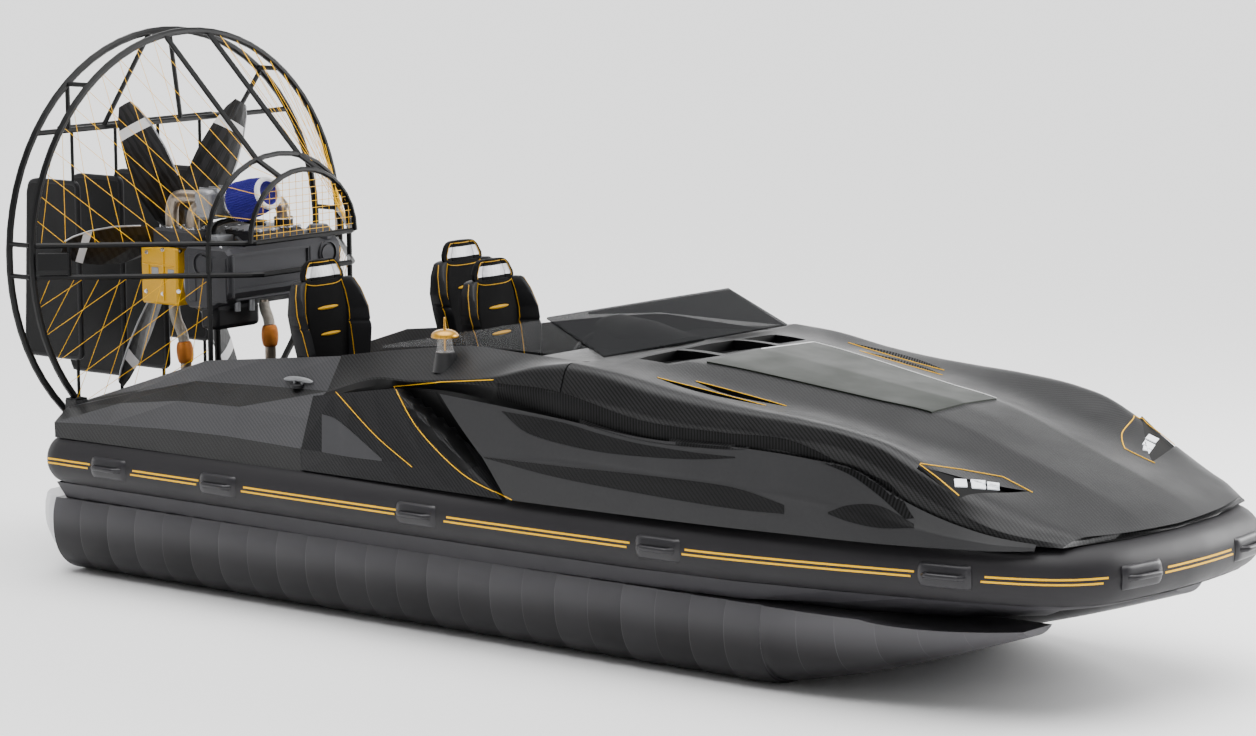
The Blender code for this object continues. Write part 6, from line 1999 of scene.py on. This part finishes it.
    def panel(self) -> None:
        """Lacquered panel on the hood and a painted highlight, a pale tube along its port and rear edges."""
        station = np.linspace(*self.panel_x, 60)
        breadth = cubic_rows(self.rows, station)[:, 8] * 0.97
        share = np.linspace(-1.0, 1.0, 33)[:, None]
        y = share * breadth
        x = np.broadcast_to(station, y.shape)
        z = self.height(x.ravel(), y.ravel()).reshape(y.shape)
        rows = np.stack([x, y, z + 0.003], axis=-1)
        up = np.broadcast_to((0.0, 0.0, 1.0), rows.shape)
        add_piece("hood_panel_plate", sheet_over(rows, up, 0.006), HOOD_LACQUER,
                  stands_for=("hood_glass_panel",), sharp_deg=40.0)
        # painted highlight: the white tube stands for light caught by the panel's port and rear edges
        glint_path = np.vstack([rows[16:, 0], rows[-1, 1:]]) + (0.0, 0.0, 0.0060)
        add_piece("hood_panel_painted_glint", tube(straight(glint_path, 90), 0.0032, 8), WHITE_TRIM_AND_GLINT)

    def build(self) -> Shape:
        """Makes the deck, its openings and its trim.

        Returns:
            The carved deck, on which other trim is laid.
        """
        shape, zones = carved(self.skin(), self.cutters())
        # painted shade: the faces cut by the slots, lamps and recesses are black for the shade inside them
        add_piece("bow_deck_skin", shape, (DECK_FIBRE, RECESS_SHADE), zones=zones,
                  stands_for=("bow_deck",), sharp_deg=24.0)
        self.slot_trim()
        self.panel()
        return shape


@dataclass
class Airscrew:
    """Pale guards on the blades' edges and the hub's cap.

    Attributes:
        hub: station point of the hub.
        radius: radius at the tips.
        blades: number of blades.
        phase_deg: angle of the first blade from port.
        rows: share of the radius, chord and pitch in degrees.
    """

    hub: tuple = (-0.085, 0.0, 1.90)
    radius: float = 0.985
    blades: int = 6
    phase_deg: float = 57.0
    rows: tuple = ((0.42, 0.280, -31.0), (0.62, 0.270, -26.0), (0.80, 0.220, -22.0),
                   (0.93, 0.150, -20.0), (1.0, 0.080, -19.0))

    def edge(self, turn_deg: float) -> Shape:
        """Guard along one blade's leading edge: radial r + along * (-chord / 2)."""
        turn = np.radians(turn_deg)
        known = np.array(self.rows)
        share = np.linspace(known[0, 0], 0.992, 30)
        chord, pitch = (np.interp(share, known[:, 0], known[:, k]) for k in (1, 2))
        pitch = np.radians(pitch)
        radial = np.array([0.0, np.cos(turn), np.sin(turn)])
        around = np.array([0.0, -np.sin(turn), np.cos(turn)])
        along = (np.cos(pitch)[:, None] * around
                 + np.sin(pitch)[:, None] * np.array([1.0, 0.0, 0.0]))
        path = (np.array(self.hub) + self.radius * share[:, None] * radial
                - along * (chord * 0.49)[:, None])
        return tube(path, 0.0055, 8)

    def build(self) -> None:
        """Makes the guards and the cap, which turn with the propeller."""
        turns = self.phase_deg + 360.0 / self.blades * np.arange(self.blades)
        add_piece("blade_edges", joined(self.edge(turn) for turn in turns), EDGE_METAL,
                  body="propeller")
        cap = turned([(0.050, 0.078), (0.058, 0.080), (0.085, 0.060), (0.098, 0.030),
                      (0.101, 0.006)], self.hub, (-1.0, 0.0, 0.0), 36)
        bolts = joined(
            turned([(0.050, 0.007), (0.064, 0.007)],
                   np.array(self.hub) + (0.0, 0.069 * np.cos(a), 0.069 * np.sin(a)),
                   (-1.0, 0.0, 0.0), 6) for a in np.arange(6) * np.pi / 3)
        add_piece("hub_cap", cap + bolts, BARE_CASTING, body="propeller")


@dataclass
class Rudders:
    """Edge tubes on the four rudders.

    Attributes:
        post_x: station of the posts.
        places: half-breadth and foot height of each rudder.
        fore: distance from post to fore edge.
        top_z: height of the top.
        aft_top: distance from post to the aft edge at the top.
        aft_foot: the same at the foot.
    """

    post_x: float = -0.46
    places: tuple = (("starboard_outer", -0.54, 1.200), ("starboard_inner", -0.18, 1.060),
                     ("port_inner", 0.18, 1.060), ("port_outer", 0.54, 1.200))
    fore: float = 0.040
    top_z: float = 2.285
    aft_top: float = 0.400
    aft_foot: float = 0.450

    def build(self) -> None:
        """Makes each rudder's edge tube, which turns with it."""
        for label, y, foot in self.places:
            corners = [(self.fore, foot + 0.02), (self.fore, self.top_z - 0.012),
                       (self.fore - 0.02, self.top_z), (-self.aft_top + 0.07, self.top_z),
                       (-self.aft_top + 0.02, self.top_z - 0.012),
                       (-self.aft_top, self.top_z - 0.07), (-self.aft_foot, foot + 0.07),
                       (-self.aft_foot + 0.03, foot + 0.006), (self.fore - 0.03, foot + 0.006)]
            loop = np.array([(self.post_x + x, y, z) for x, z in corners])
            path = straight(np.vstack([loop, loop[:1]]), 240)[:-1]
            blur = (np.roll(path, 1, 0) + path + np.roll(path, -1, 0)) / 3
            inset = blur + (np.array([self.post_x - 0.2, y, 1.7]) - blur) * (0.012, 0.0, 0.008)
            add_piece(f"rudder_edge_{label}", tube(inset, 0.0195, 10, closed=True), RUDDER_EDGE,
                      body=f"rudder_{label}")


@dataclass
class Engine:
    """Open engine: pipes, duct, filter, braids, covers, bolts and hoses.

    Attributes:
        duct_low: lower corner of the cast duct.
        duct_high: its upper corner.
        filter_foot: middle of the filter's foot.
        filter_aim: direction of the filter's axis.
    """

    duct_low: tuple = (0.400, -0.360, 2.100)
    duct_high: tuple = (0.535, -0.090, 2.280)
    filter_foot: tuple = (0.585, -0.170, 2.195)
    filter_aim: tuple = (0.96, 0.0, 0.27)

    def intake(self) -> None:
        """Two bent pipes, the cast duct, the bend to the cover, flanges and sleeves."""
        shapes = []
        flanges = []
        for station, top in ((0.185, 2.225), (0.365, 2.180)):
            route = [(station, -0.330, 2.046), (station, -0.330, top - 0.09),
                     (station + 0.015, -0.328, top - 0.035), (station + 0.06, -0.320, top),
                     (max(station + 0.13, 0.42), -0.28, top)]
            shapes.append(tube(smooth(route, 40), 0.040, 24))
            flanges.append(turned([(0.0, 0.060), (0.009, 0.060)], (station, -0.330, 2.036),
                                  (0.0, 0.0, 1.0), 24))
            flanges.append(rods([(station + 0.05 * k, -0.330 - 0.05 * m, 2.030)
                                 for k in (-1, 1) for m in (-1, 1)],
                                [(station + 0.05 * k, -0.330 - 0.05 * m, 2.054)
                                 for k in (-1, 1) for m in (-1, 1)], 0.007, 6))
        bend = [(0.46, -0.15, 2.17), (0.46, -0.02, 2.185), (0.52, 0.07, 2.195), (0.62, 0.09, 2.195),
                (0.70, 0.08, 2.17), (0.735, 0.07, 2.12), (0.735, 0.07, 2.0315)]
        shapes.append(tube(smooth(bend, 60), 0.043, 24))
        add_piece("intake_bends", joined(shapes), BENT_STEEL)
        add_piece("intake_flanges", joined(flanges), BRIGHT_STEEL)
        duct = block(self.duct_low, self.duct_high)
        add_piece("intake_duct", duct, BARE_CASTING, stands_for=("intake_pipes",), bevel=0.028)
        neck = tube(smooth([(0.50, -0.170, 2.175), (0.55, -0.170, 2.185), (0.592, -0.170, 2.197)], 12),
                    0.070, 28)
        ribs = joined(block((0.398 - 0.004, y, 2.12), (0.54, y + 0.008, 2.288))
                      for y in (-0.30, -0.22, -0.14))
        add_piece("intake_duct_ribs", neck + ribs, BARE_CASTING)
        sleeve = turned([(0.0, 0.056), (0.004, 0.058), (0.066, 0.058), (0.070, 0.056)],
                        (0.735, 0.07, 2.0316), (0.0, 0.0, 1.0), 28)
        add_piece("intake_sleeve", sleeve, BLACK_MOULDING)
        clamps = joined(turned([(0.0, 0.057), (0.0, 0.0605), (0.010, 0.0605), (0.010, 0.057)],
                               (0.735, 0.07, z), (0.0, 0.0, 1.0), 28, hollow=True)
                        for z in (2.038, 2.088))
        add_piece("intake_clamps", clamps, BRIGHT_STEEL)

    def filter(self) -> None:
        """Pleated cone between two moulded ends, with a bright ring and a sunk inner cone.

        The pleated radius is r(t) (1 + 0.035 tri(48 a)): a triangle wave 48 times round.
        """
        aim = unit(np.array(self.filter_aim))
        along = np.linspace(0.022, 0.262, 20)[:, None]
        turn = np.arange(192)[None] / 192 * 2 * np.pi
        radius = np.interp(along, [0.022, 0.15, 0.262], [0.119, 0.114, 0.096])
        wave = np.abs((turn * 48 / (2 * np.pi)) % 1.0 - 0.5) * 4 - 1
        radius = radius * (1 + 0.035 * wave)
        first = unit(np.cross(aim, (0.0, 0.0, 1.0)))
        second = np.cross(aim, first)
        points = (np.array(self.filter_foot) + along[..., None] * aim
                  + radius[..., None] * (np.cos(turn)[..., None] * first
                                         + np.sin(turn)[..., None] * second))
        add_piece("filter_pleats", grid(points, around=True, caps=True), FILTER_CLOTH,
                  stands_for=("air_filter",), sharp_deg=15.0)
        ends = turned([(0.0, 0.076), (0.0, 0.118), (0.006, 0.122), (0.022, 0.122), (0.026, 0.116),
                       (0.026, 0.076)], self.filter_foot, aim, 48, hollow=True)
        add_piece("filter_foot_ring", ends, BRIGHT_STEEL)
        rim = turned([(0.258, 0.070), (0.258, 0.098), (0.268, 0.101), (0.284, 0.097), (0.288, 0.086),
                      (0.282, 0.074)], self.filter_foot, aim, 48, hollow=True)
        add_piece("filter_rim", rim, WHITE_TRIM_AND_GLINT)
        cone = turned([(0.215, 0.020), (0.225, 0.045), (0.276, 0.073), (0.262, 0.075)],
                      self.filter_foot, aim, 48)
        add_piece("filter_inner_cone", cone, FILTER_CLOTH)

    def exhaust(self) -> None:
        """Steel braid over the upper hoses and copper-coloured flexible joints below it."""
        swell = lambda low, high, count: low + (high - low) * np.sin(
            np.linspace(0, np.pi, count)) ** 0.5
        aft = smooth([(0.215, -0.36, 1.570), (0.217, -0.359, 1.53), (0.228, -0.352, 1.47),
                      (0.252, -0.339, 1.41), (0.266, -0.334, 1.345)], 30)
        fore = smooth([(0.745, -0.12, 1.60), (0.750, -0.12, 1.56), (0.775, -0.12, 1.51),
                       (0.786, -0.12, 1.465)], 24)
        add_piece("exhaust_braids", tube(aft, 0.0335, 20) + tube(fore, 0.0335, 20), STEEL_BRAID)
        first = straight([(0.266, -0.334, 1.345), (0.276, -0.330, 1.215)], 24)
        second = straight([(0.786, -0.12, 1.465), (0.790, -0.12, 1.335)], 24)
        add_piece("exhaust_flex_joints",
                  tube(first, swell(0.036, 0.052, 24), 28) + tube(second, swell(0.036, 0.052, 24), 28),
                  COPPER_BRAID)
        lower = straight([(0.275, -0.330, 1.22), (0.275, -0.330, 0.975)], 20)
        lower2 = straight([(0.790, -0.12, 1.34), (0.790, -0.12, 0.975)], 20)
        add_piece("exhaust_lower_pipes", tube(lower, 0.0335, 20) + tube(lower2, 0.0335, 20),
                  BENT_STEEL)

    def gearbox(self) -> None:
        """Bolts and sunk windows of the gearbox, ridges and bolts of the bell housing."""
        box_ = Surface(("gearbox", "bell_housing"))
        spots = np.array([(162.6, 249.8), (180.0, 251.2), (146.5, 291.0), (163.0, 293.8),
                          (146.8, 252.0), (178.5, 291.5)])
        points, normals = box_.seen(spots)
        bolts = joined(turned([(-0.004, 0.013), (0.002, 0.013), (0.002, 0.009), (0.010, 0.009)],
                              point, normal, 12) for point, normal in zip(points, normals))
        add_piece("gearbox_bolts", bolts, BRIGHT_STEEL)
        y = -0.435
        dark = block((0.105, y - 0.0025, 1.735), (0.165, y + 0.004, 1.800))
        dark += block((0.245, y - 0.0025, 1.745), (0.300, y + 0.004, 1.795))
        add_piece("gearbox_windows", dark, BARE_CASTING, bevel=0.012)
        frames = block((0.030, y - 0.007, 1.810), (0.300, y + 0.004, 1.822))
        frames += block((0.205, y - 0.008, 1.600), (0.217, y + 0.004, 1.900))
        frames += block((0.075, y - 0.008, 1.735), (0.087, y + 0.004, 1.815))
        add_piece("gearbox_ribs", frames, GEAR_ENAMEL, bevel=0.004)
        rings = joined(turned([(a, 0.10), (a, r), (a + 0.010, r + 0.004), (a + 0.020, r), (a + 0.020, 0.10)],
                              (0.3262, -0.19, 1.72), (1.0, 0.0, 0.0), 56, hollow=True)
                       for a, r in ((0.002, 0.199), (0.034, 0.197), (0.064, 0.192)))
        add_piece("bell_ridges", rings, BARE_CASTING)

    def block_details(self) -> None:
        """Covers, ribs, hoses, bolts and small cases on the engine block."""
        y = -0.475
        plates = block((0.470, y - 0.006, 1.625), (0.530, y + 0.004, 1.900))
        plates += block((0.655, y - 0.006, 1.630), (0.790, y + 0.004, 1.900))
        plates += block((0.815, -0.46, 1.660), (0.826, -0.44, 1.915))
        plates += block((0.815, 0.200, 1.660), (0.826, 0.220, 1.915))
        plates += block((0.806, -0.420, 1.640), (0.824, 0.450, 1.655))
        add_piece("block_ribs", plates, BLOCK_CASTING, bevel=0.005)
        rings = joined([
            turned([(0.0, 0.070), (0.0, 0.082), (0.010, 0.080), (0.014, 0.070)],
                   (0.595, y, 1.850), (0.0, -1.0, 0.0), 40, hollow=True),
            turned([(0.0, 0.066), (0.0, 0.078), (0.010, 0.076), (0.014, 0.066)],
                   (0.820, 0.354, 1.860), (1.0, 0.0, 0.0), 40, hollow=True),
        ])
        add_piece("block_cover_rings", rings, BLOCK_CASTING)
        tops = joined(block((0.49 + 0.05 * k, -0.19, 2.026), (0.505 + 0.05 * k, 0.19, 2.042))
                      for k in range(6))
        rails = rods([(0.50, -0.24, 2.005), (0.56, -0.27, 1.985)], [(0.50, 0.30, 2.005), (0.56, 0.25, 1.985)],
                     0.014, 12)
        cases = block((0.50, -0.36, 1.950), (0.60, -0.22, 2.010))
        cases += block((0.62, 0.21, 1.950), (0.72, 0.33, 2.000))
        add_piece("block_top_castings", tops + rails + cases, BARE_CASTING, bevel=0.004)
        heads = [(x, y_, 2.030) for x in (0.485, 0.775) for y_ in (-0.17, -0.06, 0.06, 0.17)]
        heads = np.array(heads + [(x, -0.43, 1.953) for x in (0.50, 0.60, 0.70)])
        add_piece("block_bolts", rods(heads, heads + (0.0, 0.0, 0.016), 0.009, 6), BRIGHT_STEEL)
        hose = tube(smooth([(0.50, -0.30, 1.99), (0.46, -0.22, 2.06), (0.48, -0.08, 2.08),
                            (0.56, 0.02, 2.055), (0.60, 0.05, 2.035)], 40), 0.016, 12)
        hose += tube(smooth([(0.66, -0.25, 1.96), (0.70, -0.30, 2.00), (0.75, -0.32, 1.99),
                             (0.78, -0.30, 1.955)], 30), 0.013, 12)
        add_piece("block_hoses", hose, BLACK_MOULDING)
        sump = block((0.528, -0.452, 1.453), (0.672, -0.078, 1.600))
        add_piece("sump_cover", sump, BLACK_MOULDING, bevel=0.030)
        plug = rods([(0.70, -0.30, 1.560), (0.74, -0.22, 1.560)], [(0.70, -0.30, 1.640), (0.74, -0.22, 1.640)],
                    0.018, 14)
        add_piece("sump_fittings", plug, BARE_CASTING)

    def build(self) -> None:
        """Makes the engine's parts from the intake down."""
        self.intake()
        self.filter()
        self.exhaust()
        self.gearbox()
        self.block_details()


@dataclass
class Cockpit:
    """Instrument cowl, screens, wheel and cleats.

    Attributes:
        wheel_centre: middle of the wheel.
        wheel_lean: direction of its axis towards the driver.
        wheel_radius: radius of the rim.
    """

    wheel_centre: tuple = (3.22, 0.0, 1.44)
    wheel_lean: tuple = (-0.94, 0.0, 0.34)
    wheel_radius: float = 0.165

    def wheel(self) -> None:
        """Rim with thumb swells, three flat spokes, a hub ring and a plain cap."""
        lean = unit(np.array(self.wheel_lean))
        across = np.array([0.0, 1.0, 0.0])
        third = np.cross(lean, across)
        turn = np.arange(120) / 120 * 2 * np.pi
        path = (np.array(self.wheel_centre) + self.wheel_radius
                * (np.cos(turn)[:, None] * across + np.sin(turn)[:, None] * third))
        rim = tube(path, 0.0150 + 0.002 * np.cos(2 * turn) ** 4, 14, closed=True)
        spokes = []
        for angle in np.radians([24.0, 153.0, 269.0]):
            reach = np.cos(angle) * across + np.sin(angle) * third
            route = np.array(self.wheel_centre) + np.linspace(0.02, 0.158, 16)[:, None] * reach
            spokes.append(tube(route, np.linspace(0.016, 0.009, 16), 10))
        hub = turned([(-0.032, 0.030), (-0.030, 0.040), (0.012, 0.044), (0.026, 0.036),
                      (0.030, 0.020)], self.wheel_centre, lean, 36)
        add_piece("wheel_rim_and_hub", joined([rim, *spokes, hub]), WHEEL_HIDE, body="steering",
                  stands_for=("steering_wheel",))

    def cowl(self) -> None:
        """Leaf-shaped instrument cowl: half ellipses across, pointed fore and aft."""
        x = np.linspace(3.335, 3.93, 40)[:, None]
        top = np.interp(x, [3.335, 3.40, 3.60, 3.93], [1.662, 1.716, 1.694, 1.628])
        low = np.interp(x, [3.335, 3.40, 3.70, 3.93], [1.655, 1.600, 1.560, 1.575])
        half = np.interp(x, [3.335, 3.40, 3.60, 3.93], [0.01, 0.16, 0.21, 0.16])
        turn = np.arange(36)[None] / 36 * 2 * np.pi
        middle, rise = (top + low) / 2, (top - low) / 2
        rows = np.stack([x + 0 * turn, half * np.cos(turn),
                         middle + rise * np.sign(np.sin(turn)) * np.abs(np.sin(turn)) ** 0.8], axis=-1)
        add_piece("dash_cowl", grid(rows, around=True, caps=True), HOOD_LACQUER)

    def screens(self) -> None:
        """Two plain dark screens on the dash, left blank, with bevelled edges."""
        shapes = [block((3.405, y - 0.12, 1.40), (3.430, y + 0.12, 1.53)) for y in (-0.46, 0.46)]
        add_piece("dash_screens", joined(shapes), LAMP_BLACK, bevel=0.006)

    def cleats(self) -> None:
        """A horn cleat a side on the coaming: foot, two stems and a bar that thins to its ends."""
        ground = Surface(("stern_deck_starboard",))
        spots, _ = ground.nearest(np.array([(1.84, -0.985, 1.31)]))
        spot = spots[0]
        bar = smooth([(-0.115, 0, 0.026), (-0.06, 0, 0.032), (0, 0, 0.035), (0.06, 0, 0.032),
                      (0.115, 0, 0.026)], 32)
        total = tube(spot + bar, 0.0155 - 0.0105 * np.linspace(-1, 1, 32) ** 4, 14)
        stems = np.array([(-0.030, 0, -0.012), (0.030, 0, -0.012)])
        total += rods(spot + stems, spot + stems + (0, 0, 0.045), 0.010, 12)
        add_piece("cleat_bars", total + total.across(), CLEAT_CASTING)
        foot = turned([(-0.014, 0.046), (0.004, 0.046), (0.008, 0.040)], spot, (0.0, 0.0, 1.0), 32)
        add_piece("cleat_feet", foot + foot.across(), BLACK_MOULDING)

    def build(self) -> None:
        """Makes the cockpit's parts."""
        self.wheel()
        self.cowl()
        self.screens()
        self.cleats()


SEATS = (("driver", 2.49, 0.0), ("rear_starboard", 1.70, -0.60), ("rear_port", 1.70, 0.60))


def main() -> None:
    """Builds the studio, dresses the solids and adds each sub-assembly in order."""
    logging.basicConfig(level=logging.INFO, format="%(message)s")
    Studio().build()
    dress_nodes()
    Collar().build()
    CollarStripes().build()
    Sponsons().build()
    coaming = CockpitSides().build()
    skin = SideSkins().build()
    deck = BowDeck().build()
    DeckTrim().build(coaming + deck + skin)
    Lamps().build(deck)
    GuardNet().build()
    for label, top_x, middle_y in SEATS:
        Seat(label, top_x, middle_y).build()
    Airscrew().build()
    Rudders().build()
    Engine().build()
    Cockpit().build()


if __name__ == "__main__":
    main()
